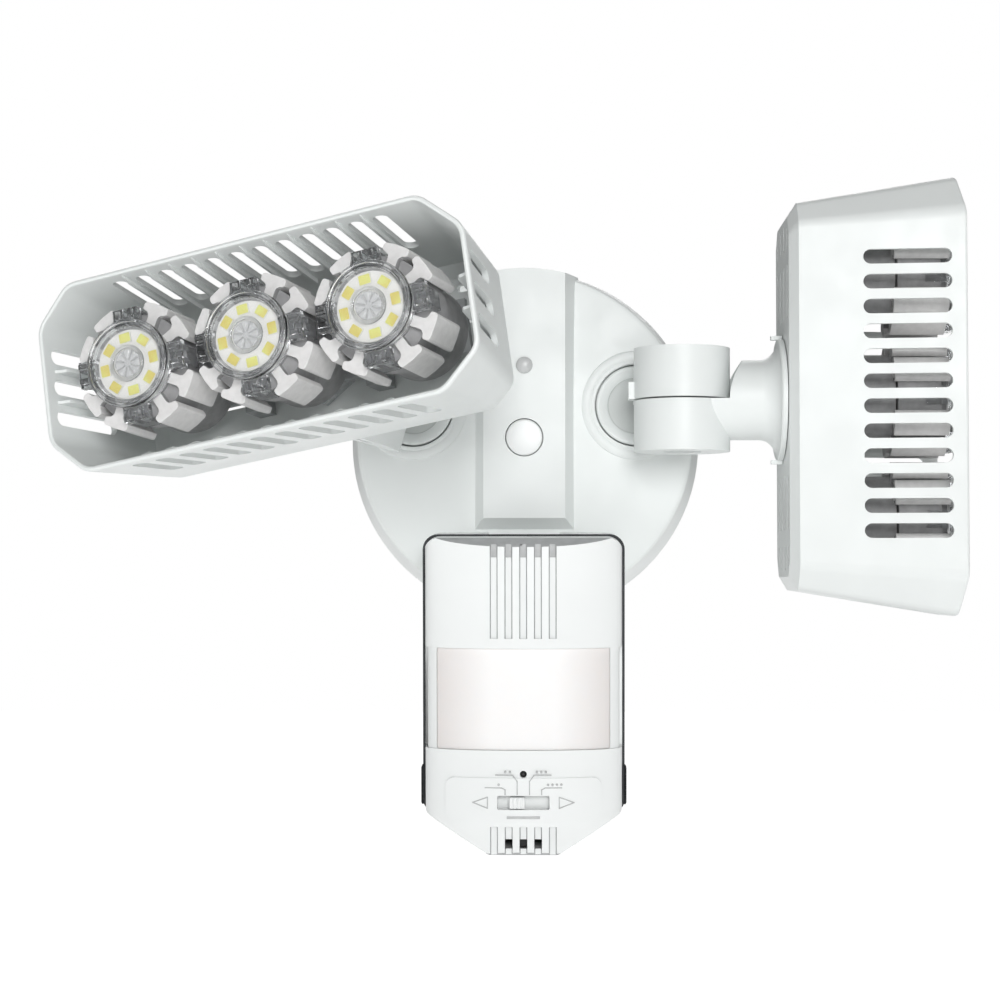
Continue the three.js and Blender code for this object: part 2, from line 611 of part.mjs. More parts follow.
// ---------------------------------------------------------------- sensor head
// The head's own frame has its origin on the tilt axis.
function headOutline(half, top, inset = 0) {
  const r = 5.2;
  const h = half - inset;
  const z1 = top - inset;
  const z0 = SENSOR_BOTTOM + inset;
  const foot = SENSOR_FOOT_HALF - inset * 0.5;
  const shape = new THREE.Shape();
  shape.moveTo(-foot, z0);
  shape.lineTo(foot, z0);
  shape.lineTo(h - 1.6, SENSOR_TAPER + inset * 0.4);
  shape.quadraticCurveTo(h, SENSOR_TAPER + 1, h, SENSOR_TAPER + 4);
  shape.lineTo(h, z1 - r);
  shape.absarc(h - r, z1 - r, r, 0, Math.PI / 2);
  shape.lineTo(-h + r, z1);
  shape.absarc(-h + r, z1 - r, r, Math.PI / 2, Math.PI);
  shape.lineTo(-h, SENSOR_TAPER + 4);
  shape.quadraticCurveTo(-h, SENSOR_TAPER + 1, -h + 1.6, SENSOR_TAPER + inset * 0.4);
  return shape;
}

// Plan section of the front cover, bowed forward across its width.
function coverSection(inset, rear = SENSOR_SPLIT) {
  const half = SENSOR_HALF - inset;
  const shoulder = SENSOR_FRONT + 6.2 + inset;
  const front = SENSOR_FRONT + inset;
  const shape = new THREE.Shape();
  shape.moveTo(-half, rear);
  shape.lineTo(-half + 0.7, shoulder + 4);
  shape.quadraticCurveTo(-half + 1, shoulder, -half + 5, shoulder - 1.2);
  shape.quadraticCurveTo(0, 2 * front - shoulder + 1.2, half - 5, shoulder - 1.2);
  shape.quadraticCurveTo(half - 1, shoulder, half - 0.7, shoulder + 4);
  shape.lineTo(half, rear);
  return shape;
}

function bowed(outline, inset, rear = SENSOR_SPLIT) {
  return column(coverSection(inset, rear), -110, 30, 4).intersect(plate(outline, 10, -40, 2));
}

function frontCover() {
  let body = bowed(headOutline(SENSOR_HALF, SENSOR_TOP), 0);
  body = body.add(bowed(roundedRect(-26.7, 26.7, -83.3, -67.4, 3), -0.5));
  body = body.subtract(bowed(headOutline(SENSOR_HALF, SENSOR_TOP, 2), 2, 5));
  body = body.subtract(plate(roundedRect(-WINDOW_HALF, WINDOW_HALF, WINDOW_BOTTOM, WINDOW_TOP, 1), -8, -30));
  for (let i = -2; i <= 2; i += 1) {
    const x = i * GROOVE_PITCH;
    const half = GROOVE_WIDTH / 2;
    const upper = bowed(roundedRect(x - half, x + half, -20, 10.5, 1.2), -1);
    body = body.subtract(upper.subtract(bowed(roundedRect(-20, 20, -30, 20, 1), 0.9)));
    const lower = bowed(roundedRect(x - half, x + half, -93, -84.5, 0.6), -1);
    body = body.subtract(lower.subtract(bowed(roundedRect(-20, 20, -99, -80, 1), 0.9)));
    if (Math.abs(i) < 2) {
      body = body.subtract(box(x - half + 0.3, x + half - 0.3, -30, -12, -91.5, -88.6));
    }
  }
  const slot = roundedRect(-SWITCH_HALF, SWITCH_HALF, SWITCH_Z - 2.4, SWITCH_Z + 2.4, 0.8);
  body = body.subtract(plate(slot, -10, -30));
  body = body.subtract(rodY(1.2, 1.2, -30, -10, 0, INDICATOR_Z, 12));
  return piece('sensor_front_cover', body, materials.sensorShell);
}

function sensorLens() {
  const half = WINDOW_HALF - GAP;
  const outline = roundedRect(-half, half, WINDOW_BOTTOM + GAP, WINDOW_TOP - GAP, 1);
  const outer = bowed(outline, 1, -8.6);
  const inner = bowed(roundedRect(-40, 40, WINDOW_BOTTOM - 5, WINDOW_TOP + 5, 1), 2.2, 0);
  return piece('sensor_lens', outer.subtract(inner), materials.window);
}

function sensorGasket() {
  const half = SENSOR_HALF + 1.4;
  const top = SENSOR_TOP + 0.6;
  const outer = plate(headOutline(half, top), SENSOR_SPLIT + 1.9, SENSOR_SPLIT + GAP);
  const inner = plate(headOutline(half, top, 3.4), 5, -5);
  return piece('sensor_gasket', outer.subtract(inner), materials.darkSeal);
}

// Rear housing: tapers to the back, with a pocket at the top for the yoke.
function rearHousing() {
  const front = SENSOR_SPLIT + 2.2;
  const shell = (inset) => {
    const half = SENSOR_HALF + 1.2 - inset;
    const back = half - 8;
    const rear = SENSOR_REAR - inset;
    const start = front - (inset ? 1 : 0);
    const section = new THREE.Shape();
    section.moveTo(-half, start);
    section.lineTo(half, start);
    section.lineTo(half - 1, 7);
    section.quadraticCurveTo(half - 2, rear, back - 6, rear);
    section.lineTo(-back + 6, rear);
    section.quadraticCurveTo(-half + 2, rear, -half + 1, 7);
    const silhouette = headOutline(SENSOR_HALF + 1.2, SENSOR_TOP + 0.4, inset);
    return column(section, -110, 30, 5).intersect(plate(silhouette, 30, -10, 5));
  };
  const skirt = hull([
    [-40, -5, -100], [40, -5, -100], [-40, -5, 20], [40, -5, 20],
    [-40, 20, -78], [40, 20, -78], [-40, 20, 20], [40, 20, 20],
  ]);
  const hollowLimit = hull([
    [-40, -5, -98], [40, -5, -98], [-40, -5, -19.4], [40, -5, -19.4],
    [-40, 20, -75.6], [40, 20, -75.6], [-40, 20, -19.4], [40, 20, -19.4],
  ]);
  let body = shell(0).intersect(skirt);
  body = body.subtract(shell(2.2).intersect(hollowLimit));
  body = body.subtract(box(-12.6, 12.6, -20, 30, -17, 20));
  const relief = box(-30, 30, -20, SENSOR_SPLIT + 9, -17, SENSOR_TOP - 2);
  body = body.subtract(relief.subtract(box(-15.4, 15.4, -20, 20, -20, 20)));
  body = body.subtract(rodX(TILT_PIN_R + GAP, -15.6, 15.6));
  return piece('sensor_rear_housing', body, materials.sensorShell);
}

function tiltPin() {
  return piece('tilt_pin', rodX(TILT_PIN_R, -15.3, 15.3), materials.steel);
}

function sensorBoard() {
  let body = box(-27, 27, SENSOR_SPLIT - 1.6, SENSOR_SPLIT, -80, -22);
  for (const x of [-22, 22]) {
    body = body.subtract(rodY(1.6, 1.6, -10, 5, x, -30, 12));
  }
  return piece('sensor_board', body, materials.circuit);
}

function pirElement() {
  const can = turned([[0, -8], [4.1, -8], [4.6, -7.4], [4.6, -4.4], [5, -4.4], [5, -3.9], [0, -3.9]], 20);
  return piece('pir_element', can.translate([0, 0, -40.5]), materials.steel);
}

function indicator() {
  const pipe = rodY(0.85, 0.85, SENSOR_FRONT - 0.4, -3.9, 0, INDICATOR_Z, 12);
  return piece('indicator', pipe, materials.window);
}

function photocell() {
  const cell = rodY(3.2, 3.2, -16.6, -12.4, 0, -88.4, 20);
  return piece('photocell', cell, materials.darkSeal);
}

function modeKnob() {
  const foot = box(-5, 5, -16.2, -12, SWITCH_Z - 1.9, SWITCH_Z + 1.9);
  let body = box(-2.6, 2.6, SENSOR_FRONT - 1.6, -14, SWITCH_Z - 1.9, SWITCH_Z + 1.9).add(foot);
  for (const x of [-1.3, 0, 1.3]) {
    const rib = box(x - 0.3, x + 0.3, SENSOR_FRONT - 3, SENSOR_FRONT - 1, SWITCH_Z - 3, SWITCH_Z + 3);
    body = body.subtract(rib);
  }
  const knob = piece('mode_knob', body, materials.sensorShell);
  knob.position.x = KNOB_REST_X;
  return knob;
}

function sensorHead() {
  const group = new THREE.Group();
  group.position.set(0, TILT_AXIS_Y, TILT_AXIS_Z);
  group.rotation.x = radians(SENSOR_REST_TILT);
  group.add(frontCover(), sensorLens(), sensorGasket(), rearHousing(), tiltPin());
  group.add(sensorBoard(), pirElement(), indicator(), photocell(), modeKnob());
  return group;
}

// ---------------------------------------------------------------- assembly
const floodlight = new THREE.Group();
floodlight.add(canopyHousing(), canopyGasket(), mountingBar());
floodlight.add(boxScrew('box_screw_left', -38), boxScrew('box_screw_right', 38));
floodlight.add(centreScrew(), screwCap(), ridgePlug());
floodlight.add(driverHousing(), terminalBlock());
HEADS.forEach((head) => floodlight.add(headAssembly(head)));
floodlight.add(sensorStalk(), sensorYoke(), panPin(), sensorHead());

export default floodlight;
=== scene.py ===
"""Looks for the twin-head LED security floodlight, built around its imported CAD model.

Pieces are drawn in millimetres in the same local frames as the CAD: +Y into the wall for the canopy,
and for an arm, neck or lamp a frame whose -Y points forward out of it. `place` puts them in the row frame.
"""
import json
import math

import bmesh
import bpy
from mathutils import Matrix, Vector


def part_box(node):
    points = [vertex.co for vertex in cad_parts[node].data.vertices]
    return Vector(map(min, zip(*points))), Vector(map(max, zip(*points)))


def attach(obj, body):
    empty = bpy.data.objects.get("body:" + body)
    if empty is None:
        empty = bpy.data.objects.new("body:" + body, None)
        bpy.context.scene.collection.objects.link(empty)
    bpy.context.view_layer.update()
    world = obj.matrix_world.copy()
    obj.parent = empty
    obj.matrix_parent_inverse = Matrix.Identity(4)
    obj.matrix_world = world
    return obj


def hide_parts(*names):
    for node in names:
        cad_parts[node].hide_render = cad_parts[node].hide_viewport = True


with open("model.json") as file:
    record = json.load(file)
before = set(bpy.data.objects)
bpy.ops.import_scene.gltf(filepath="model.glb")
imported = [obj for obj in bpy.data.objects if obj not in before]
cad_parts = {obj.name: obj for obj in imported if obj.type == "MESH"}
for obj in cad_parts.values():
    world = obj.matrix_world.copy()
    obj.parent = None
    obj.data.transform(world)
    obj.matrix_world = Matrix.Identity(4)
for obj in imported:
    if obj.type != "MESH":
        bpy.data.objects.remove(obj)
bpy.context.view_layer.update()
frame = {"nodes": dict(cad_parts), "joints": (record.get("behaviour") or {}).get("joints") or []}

MM = 0.001

# ---------------------------------------------------------------- dimensions, millimetres
GAP = 0.3

CANOPY_R = 65.0
CANOPY_FRONT_R = 61.0
CANOPY_FACE_Y = -30.0
CANOPY_INNER_Y = -27.0
RIDGE_FACE_Y = -38.5
RIDGE_FACE_HALF = 14.7
RIDGE_BASE_HALF = 19.6
RIDGE_BOTTOM_Z = -32.0
SCREW_CAP_R = 6.6
PLUG_Z = 26.0
DOME_R = 3.0

SOCKET_X = 40.3
SOCKET_Z = 12.0
SOCKET_RING_R = 19.4
ROTOR_R = 14.4
SPIGOT_R = 8.0
SPIGOT_END_Y = 13.0
SPIGOT_BORE_R = 5.0
DISH_R = 9.6
DISH_Y = 0.6

KNUCKLE_OUT = 15.4
KNUCKLE_FORWARD = 23.0
KNUCKLE_R = 16.9
KNUCKLE_HALF = 18.2
KNUCKLE_BOLT_R = 4.0
NECK_R = 14.1
NECK_CLEAR_R = 21.2
FLANGE_R = 21.4

PANEL_Y = -35.5
WALL_START_Y = -38.5
RIM_Y = -95.0
WALL = 2.0
PANEL_SIZE = (124.4, 43.6, 6.5, 5.5)        # length, width, corner cut along each
REAR_SIZE = (133.8, 53.0, 8.1, 7.0)
RIM_SIZE = (151.5, 64.0, 13.1, 12.4)
SLOT_PITCH = 8.49
SLOT_COUNT = 12
SLOT_WIDTH = 5.0
SLOT_START_Y = -60.1
SLOT_END_Y = -89.8
END_SLOT_PITCH = 10.4
VENT_COLUMNS = (-16.5, -5.5, 5.5, 16.5)
VENT_SPANS = ((27.0, 46.0), (51.5, 60.0))
VENT_WIDTH = 2.6

MODULE_PITCH = SLOT_PITCH * 5
FIN_FRONT_Y = -91.0
FIN_REAR_Y = -72.0
FIN_SPREAD = 16.5                            # degrees either side of a diagonal
FIN_STEM_HALF = 1.8
FIN_HEAD_HALF = 4.5
FIN_INNER_R = 18.2
FIN_OUTER_R = 20.9
SINK_HUB_R = 12.4
SINK_CORE_R = 17.4
SINK_BASE_R = 15.5
SINK_BACK_Y = -51.4
BOARD_FRONT_Y = -94.8
BOARD_R = 11.3
LED_COUNT = 8
LED_RING_R = 8.8
LED_PHASE = -4.0                             # degrees
LED_FRAME_HALF = (2.1, 1.7)
LED_GEL_HALF = (1.9, 1.5)
COVER_FRONT_Y = -97.4
COVER_RING_R = 14.5
PETAL_COUNT = 8
PETAL_START_R = 1.5
PETAL_END_R = 4.3

SENSOR_HALF = 34.1
SENSOR_TOP = 14.0
SENSOR_BOTTOM = -94.0
SENSOR_TAPER = -81.0
SENSOR_FOOT_HALF = 11.6
SENSOR_FRONT = -20.0
SENSOR_SPLIT = -2.0
SENSOR_REAR = 18.0
WINDOW_HALF = 29.6
WINDOW_TOP = -23.4
WINDOW_BOTTOM = -58.1
BOW_START_Y = -9.8
BOW_SHARPNESS = 2.2
COVER_WALL = 2
PAD_HALF = 26.7
PAD_LOW = -82.5
PAD_HIGH = -67.4
PAD_HEIGHT = 0.6
GROOVE_PITCH = 5.0
GROOVE_WIDTH = 2.7
GROOVE_DEPTH = 0.9
GROOVE_DRAFT = 0.4
GROOVE_END_DEPTH = 1.75
UPPER_GROOVES = (-20, 12.2)                  # from low to high
LOWER_GROOVES = (-94.6, -84.2)
INDICATOR_Z = -66.1
SWITCH_Z = -75.8
SWITCH_HALF = 8.9
SWITCH_SLOT_HALF = 2.4
KNOB_REST_X = -2.1
LEADER_LINES = (                             # x and height above the switch, mirrored
    ((6.2, 0), (6.2, 1.6), (7.4, 2.2), (13.0, 2.2)),
    ((2.1, 0), (2.1, 4.4), (3.6, 6.6), (9.4, 6.6)),
)
GASKET_PROUD = 0.9                           # how far the gasket stands past the cover's sides
REAR_PROUD = 0.7
REAR_WALL = 2.2
SENSOR_REST_TILT = 4.0                       # degrees

# The camera is a little below the canopy's middle and nearly square to it.
CAMERA_LENS = 82.8
CAMERA_SPOT = (7.4, -863.2, -54.4)
CAMERA_FORWARD = (-0.01953, 0.99906, 0.0386)

# ---------------------------------------------------------------- stage, metres and watts
FLOOR_Z = -0.42
FLOOR_SIZE = 6.0
FLOOR_GLOW = {"From Min": 0.5, "From Max": 1.35, "To Min": 0.34, "To Max": 0.95}
SKY_STRENGTH = 0.15
LIGHTS = (                                   # name, place, aim, size, power
    ("front", (0.12, -1.6, 0.3), (0, -0.05, -0.02), 0.5, 11.8),
    ("left", (-1.3, -0.45, 0.4), (0, -0.05, 0), 0.9, 0.35),
    ("top", (0.1, -0.45, 1.3), (0, -0.05, 0), 0.9, 0.9),
    ("back", (0.2, 1.4, 0.9), (0, 0, 0), 0.9, 6.0),
)


# ---------------------------------------------------------------- outlines
def arc(cx, cy, r, start, end, steps):
    """Points on an arc, angles in degrees, both ends included."""
    angles = [math.radians(start + (end - start) * i / steps) for i in range(steps + 1)]
    return [(cx + r * math.cos(a), cy + r * math.sin(a)) for a in angles]


def rounded(points, radius, steps=5):
    """A polygon with each corner replaced by an arc; radius is one number or one per corner."""
    radii = radius if isinstance(radius, (list, tuple)) else [radius] * len(points)
    out = []
    for i, corner in enumerate(points):
        here = Vector(corner)
        back = (Vector(points[i - 1]) - here).normalized()
        on = (Vector(points[(i + 1) % len(points)]) - here).normalized()
        half = back.angle(on) / 2
        if radii[i] <= 0:
            out.append(tuple(here))
            continue
        reach = radii[i] / math.tan(half)
        centre = here + (back + on).normalized() * (radii[i] / math.sin(half))
        first = here + back * reach - centre
        last = here + on * reach - centre
        sweep = math.atan2(first.cross(last), first.dot(last))
        for k in range(steps + 1):
            spot = centre + Matrix.Rotation(sweep * k / steps, 2) @ first
            out.append(tuple(spot))
    return out


def rectangle(x0, x1, z0, z1, radius=0.0, steps=4):
    return rounded([(x0, z0), (x1, z0), (x1, z1), (x0, z1)], radius, steps)


def stadium(x, half, low, high, steps=10):
    """A slot outline with round ends, centred on x, from low to high."""
    return arc(x, low + half, half, 180, 360, steps) + arc(x, high - half, half, 0, 180, steps)


# ---------------------------------------------------------------- solids, drawn in millimetres
def shape(bm):
    bmesh.ops.recalc_face_normals(bm, faces=bm.faces)
    mesh = bpy.data.meshes.new("shape")
    bm.to_mesh(mesh)
    bm.free()
    obj = bpy.data.objects.new("shape", mesh)
    bpy.context.scene.collection.objects.link(obj)
    return obj


def skin(rings, closed=False):
    """Joins rings of equal length, or single points, into a closed surface."""
    bm = bmesh.new()
    rows = [[bm.verts.new(p) for p in ring] for ring in rings]
    pairs = list(zip(rows, rows[1:]))
    if closed:
        pairs.append((rows[-1], rows[0]))
    for a, b in pairs:
        n = max(len(a), len(b))
        for i in range(n):
            j = (i + 1) % n
            corners = [a[i % len(a)], a[j % len(a)], b[j % len(b)], b[i % len(b)]]
            bm.faces.new(list(dict.fromkeys(corners)))
    if not closed:
        for row in (rows[0], rows[-1]):
            if len(row) > 2:
                bm.faces.new(row)
    return shape(bm)


def lathe(profile, segments=96):
    """A [radius, y] profile turned about Y; it starts and ends on the axis, or it closes on itself."""
    rings = []
    for r, y in profile:
        count = segments if r > 1e-6 else 1
        turns = [math.tau * i / segments for i in range(count)]
        rings.append([(r * math.cos(a), y, r * math.sin(a)) for a in turns])
    return skin(rings, closed=profile[0][0] > 1e-6)


def slab(outline, y0, y1):
    """An outline in X and Z, between two depths."""
    return skin([[(x, y, z) for x, z in outline] for y in (y0, y1)])


def column(outline, z0, z1):
    """An outline in X and Y, between two heights."""
    return skin([[(x, y, z) for x, y in outline] for z in (z0, z1)])


def bar(outline, x0, x1):
    """An outline in Y and Z, between two places along X."""
    return skin([[(x, y, z) for y, z in outline] for x in (x0, x1)])


def box(x0, x1, y0, y1, z0, z1):
    return slab(rectangle(x0, x1, z0, z1), y0, y1)


def rod_y(r, y0, y1, x=0.0, z=0.0, segments=64):
    return slab(arc(x, z, r, 0, 360 - 360 / segments, segments - 1), y0, y1)


def rod_z(r, z0, z1, x=0.0, y=0.0, segments=96):
    return column(arc(x, y, r, 0, 360 - 360 / segments, segments - 1), z0, z1)


def rod_x(r, x0, x1, y=0.0, z=0.0, segments=48):
    return bar(arc(y, z, r, 0, 360 - 360 / segments, segments - 1), x0, x1)


def hull(points):
    bm = bmesh.new()
    for p in points:
        bm.verts.new(p)
    made = bmesh.ops.convex_hull(bm, input=bm.verts)
    bmesh.ops.delete(bm, geom=made["geom_interior"] + made["geom_unused"], context="VERTS")
    bmesh.ops.dissolve_limit(bm, angle_limit=math.radians(0.5), verts=bm.verts, edges=bm.edges)
    return shape(bm)


def moved(obj, x=0.0, y=0.0, z=0.0, matrix=None):
    obj.data.transform(matrix or Matrix.Translation((x, y, z)))
    return obj


def merged(objs):
    """Several separate solids as one object."""
    bm = bmesh.new()
    for obj in objs:
        bm.from_mesh(obj.data)
        bpy.data.objects.remove(obj)
    mesh = bpy.data.meshes.new("merged")
    bm.to_mesh(mesh)
    bm.free()
    out = bpy.data.objects.new("merged", mesh)
    bpy.context.scene.collection.objects.link(out)
    return out


def combine(base, tool, operation):
    mod = base.modifiers.new("combine", "BOOLEAN")
    mod.operation = operation
    mod.solver = "MANIFOLD"
    mod.object = tool
    graph = bpy.context.evaluated_depsgraph_get()
    mesh = bpy.data.meshes.new_from_object(base.evaluated_get(graph))
    base.modifiers.clear()
    base.data = mesh
    bpy.data.objects.remove(tool)
    return base


def add(base, *tools):
    for tool in tools:
        base = combine(base, tool, "UNION")
    return base


def cut(base, *tools):
    for tool in tools:
        base = combine(base, tool, "DIFFERENCE")
    return base


def meet(base, tool):
    return combine(base, tool, "INTERSECT")


# ---------------------------------------------------------------- materials
class Surface:
    """A procedural material with a few shorthands for its nodes."""

    def __init__(self, name, color, roughness, **sockets):
        self.material = bpy.data.materials.new(name)
        self.material.use_nodes = True
        self.nodes = self.material.node_tree.nodes
        self.links = self.material.node_tree.links
        self.shader = self.nodes["Principled BSDF"]
        self.color = color
        self.roughness = roughness
        self.shader.inputs["Base Color"].default_value = (*color, 1)
        self.shader.inputs["Roughness"].default_value = roughness
        for key, value in sockets.items():
            self.shader.inputs[key.replace("_", " ")].default_value = value
        self.where = self.nodes.new("ShaderNodeTexCoord").outputs["Object"]
        self.bump_tail = None

    def noise(self, scale, detail=3.0, stretch=None):
        source = self.where
        if stretch:
            mapping = self.nodes.new("ShaderNodeMapping")
            mapping.inputs["Scale"].default_value = stretch
            self.links.new(source, mapping.inputs["Vector"])
            source = mapping.outputs["Vector"]
        node = self.nodes.new("ShaderNodeTexNoise")
        node.inputs["Scale"].default_value = scale
        node.inputs["Detail"].default_value = detail
        self.links.new(source, node.inputs["Vector"])
        return node.outputs["Fac"]

    def ramp(self, value, low, high, start=0.35, end=0.65):
        """Maps a 0 to 1 value onto a colour or grey between low and high."""
        node = self.nodes.new("ShaderNodeValToRGB")
        first, last = node.color_ramp.elements
        first.position = start
        last.position = end
        first.color = (*low, 1) if isinstance(low, tuple) else (low, low, low, 1)
        last.color = (*high, 1) if isinstance(high, tuple) else (high, high, high, 1)
        self.links.new(value, node.inputs["Fac"])
        return node.outputs["Color"]

    def mottle(self, scale, spread):
        """Base colour that drifts by a share of itself."""
        low = tuple(c * (1 - spread) for c in self.color)
        high = tuple(min(1.0, c * (1 + spread)) for c in self.color)
        self.links.new(self.ramp(self.noise(scale), low, high), self.shader.inputs["Base Color"])
        return self

    def patchy(self, scale, spread):
        low = max(0.0, self.roughness - spread)
        self.links.new(self.ramp(self.noise(scale, 4.0), low, self.roughness + spread),
                       self.shader.inputs["Roughness"])
        return self

    def bump(self, height, strength, distance):
        node = self.nodes.new("ShaderNodeBump")
        node.inputs["Strength"].default_value = strength
        node.inputs["Distance"].default_value = distance
        self.links.new(height, node.inputs["Height"])
        if self.bump_tail:
            self.links.new(self.bump_tail, node.inputs["Normal"])
        self.bump_tail = node.outputs["Normal"]
        self.links.new(self.bump_tail, self.shader.inputs["Normal"])
        return self

    def grain(self, scale, strength, distance=0.00005):
        return self.bump(self.noise(scale, 2.0), strength, distance)


def plain(name, color, roughness, mottle, patchy, grain, **sockets):
    return Surface(name, color, roughness, **sockets).mottle(*mottle).patchy(*patchy).grain(*grain).material


def powder_coat():
    """Satin white powder coat with a fine orange peel."""
    s = Surface("powder_coat", (0.80, 0.83, 0.82), 0.42, Specular_IOR_Level=0.45)
    return s.mottle(38, 0.012).patchy(90, 0.05).grain(900, 0.10).grain(260, 0.06, 0.0001).material


def moulded_white():
    """Smooth injection-moulded housing, faintly uneven."""
    s = Surface("moulded_white", (0.84, 0.86, 0.855), 0.32, Specular_IOR_Level=0.5)
    return s.mottle(30, 0.010).patchy(60, 0.04).grain(1400, 0.05).grain(120, 0.04, 0.0002).material


def clear_plastic():
    s = Surface("clear_plastic", (0.93, 0.945, 0.955), 0.04, Transmission_Weight=1.0, IOR=1.47)
    return s.patchy(120, 0.015).grain(300, 0.04, 0.0001).material


def clear_pane():
    """Thin flat of the cover over the board: nearly invisible but for its gloss."""
    s = Surface("clear_pane", (0.95, 0.96, 0.97), 0.05, Alpha=0.10)
    return s.patchy(150, 0.02).grain(240, 0.03, 0.0001).material


def phosphor():
    """Yellow gel of an unlit white LED."""
    s = Surface("phosphor", (0.83, 0.79, 0.16), 0.35)
    shade = s.ramp(s.noise(95, 2.0), (0.74, 0.62, 0.05), (0.80, 0.82, 0.16), 0.42, 0.58)
    s.links.new(shade, s.shader.inputs["Base Color"])
    return s.patchy(500, 0.05).grain(2200, 0.2).material


def milky_window():
    """Milky sheet with the fine rings of a Fresnel lens array behind its face, darkened towards its left and
    right edges as painted shade.
    """
    s = Surface("milky_window", (0.97, 0.925, 0.90), 0.38, Subsurface_Weight=0.25, Subsurface_Scale=0.003)
    s.shader.inputs["Subsurface Radius"].default_value = (1.0, 0.8, 0.7)
    wave = s.nodes.new("ShaderNodeTexWave")
    wave.wave_type = "BANDS"
    wave.bands_direction = "Z"
    wave.inputs["Scale"].default_value = 320
    wave.inputs["Distortion"].default_value = 0.3
    s.links.new(s.where, wave.inputs["Vector"])
    s.bump(wave.outputs["Fac"], 0.05, 0.00003)
    # Painted shade: the colour darkens from the middle towards the left and right edges.
    split = s.nodes.new("ShaderNodeSeparateXYZ")
    s.links.new(s.where, split.inputs["Vector"])
    side = s.nodes.new("ShaderNodeMath")
    side.operation = "ABSOLUTE"
    s.links.new(split.outputs["X"], side.inputs[0])
    span = s.nodes.new("ShaderNodeMapRange")
    span.inputs["From Max"].default_value = WINDOW_HALF * MM
    s.links.new(side.outputs["Value"], span.inputs["Value"])
    shade = s.ramp(span.outputs["Result"], (0.98, 0.955, 0.94), (0.78, 0.735, 0.715), 0.35, 1.0)
    s.links.new(shade, s.shader.inputs["Base Color"])
    return s.patchy(80, 0.04).material


COAT = powder_coat()
WHITE = moulded_white()
CERAMIC = plain("ceramic", (0.76, 0.755, 0.75), 0.6, (420, 0.04), (200, 0.06), (1600, 0.25))
# Painted shade: darker grey in the pockets between the fins, and on the base behind them.
PAINTED_RECESS_SHADING = plain("ceramic_painted_recess_shading", (0.37, 0.37, 0.375), 0.7, (300, 0.10), (200, 0.06), (1200, 0.3))
CLEAR = clear_plastic()
PANE = clear_pane()
# Moulded rosette in the middle of the cover: clear and slightly cloudy.
PETALS = plain("clear_petals", (0.80, 0.82, 0.84), 0.08, (300, 0.04), (150, 0.02), (240, 0.03, 0.0001),
               Alpha=0.34)
MASK = plain("solder_mask", (0.88, 0.88, 0.86), 0.45, (200, 0.015), (300, 0.05), (900, 0.1))
PHOSPHOR = phosphor()
LED_FRAME = plain("led_frame", (0.86, 0.86, 0.80), 0.4, (600, 0.02), (400, 0.05), (1500, 0.1))
WINDOW = milky_window()
RUBBER = plain("rubber", (0.035, 0.038, 0.042), 0.7, (150, 0.2), (200, 0.08), (1100, 0.3))
CAST = plain("cast_grey", (0.42, 0.435, 0.44), 0.5, (180, 0.07), (200, 0.08), (700, 0.3), Metallic=0.35)
STEEL = plain("zinc_steel", (0.62, 0.63, 0.64), 0.3, (90, 0.08), (160, 0.1), (1500, 0.15), Metallic=1.0)
GREY = plain("grey_plastic", (0.17, 0.18, 0.19), 0.55, (120, 0.06), (120, 0.06), (1300, 0.3))
GREEN = plain("green_board", (0.03, 0.16, 0.07), 0.4, (350, 0.2), (200, 0.08), (700, 0.2))
DARK = plain("dark_hole", (0.012, 0.012, 0.013), 0.5, (200, 0.3), (150, 0.08), (800, 0.2))
# Marks beside the switch, and painted shade on the floors of the grooves' deep ends.
MARKS_AND_PAINTED_SHADING = plain("moulded_marks_and_painted_shading", (0.52, 0.53, 0.53), 0.5, (500, 0.05), (300, 0.05), (900, 0.15))
PLUG = plain("plug_grey", (0.56, 0.57, 0.57), 0.3, (200, 0.04), (200, 0.05), (900, 0.1))
# Painted shade: a darker grey on the bottom of an arm's dish.
PAINTED_DISH_SHADING = plain("dish_painted_shading", (0.54, 0.565, 0.555), 0.5, (60, 0.03), (90, 0.05), (900, 0.10))
# Painted shade: a duller grey on the walls of the sensor's grooves and pad, and in the valleys of the
# rosette.
PAINTED_SHADING = plain("groove_painted_shading", (0.45, 0.46, 0.465), 0.5, (300, 0.06), (200, 0.06), (900, 0.15))


# ---------------------------------------------------------------- finishing a piece
def soften(obj, width, segments=3, angle=28.0):
    """Rounded edges and clean shading, as modifiers."""
    if width:
        bevel = obj.modifiers.new("edges", "BEVEL")
        bevel.width = width * MM
        bevel.segments = segments
        bevel.limit_method = "ANGLE"
        bevel.angle_limit = math.radians(angle)
        bevel.miter_outer = "MITER_ARC"
        bevel.use_clamp_overlap = True
    shading = obj.modifiers.new("shading", "WEIGHTED_NORMAL")
    shading.keep_sharp = False
    shading.weight = 80


def place(obj, name, body, where, materials, replaces=(), edge=0.35, segments=3):
    """Scales a drawn solid to metres, puts it in the row frame and gives it its looks and its body."""
    obj.name = name
    obj.data.name = name
    obj.data.transform(Matrix.Scale(MM, 4))
    obj.matrix_world = where
    indices = [face.material_index for face in obj.data.polygons]
    obj.data.materials.clear()
    for material in materials:
        obj.data.materials.append(material)
    for face, index in zip(obj.data.polygons, indices):
        face.material_index = index
        face.use_smooth = True
    soften(obj, edge, segments)
    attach(obj, body)
    if replaces:
        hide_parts(*replaces)


def dress(node, material, edge=0.25):
    """A CAD node that keeps its shape: welded, its edges rounded, with a proper material."""
    obj = frame["nodes"][node]
    obj.data.materials.clear()
    obj.data.materials.append(material)
    obj.modifiers.new("weld", "WELD").merge_threshold = 1e-6
    soften(obj, edge, 2, 35.0)


# ---------------------------------------------------------------- frames taken from the joints
JOINTS = {j["name"]: j for j in frame["joints"]}
WORLD = Matrix.Identity(4)


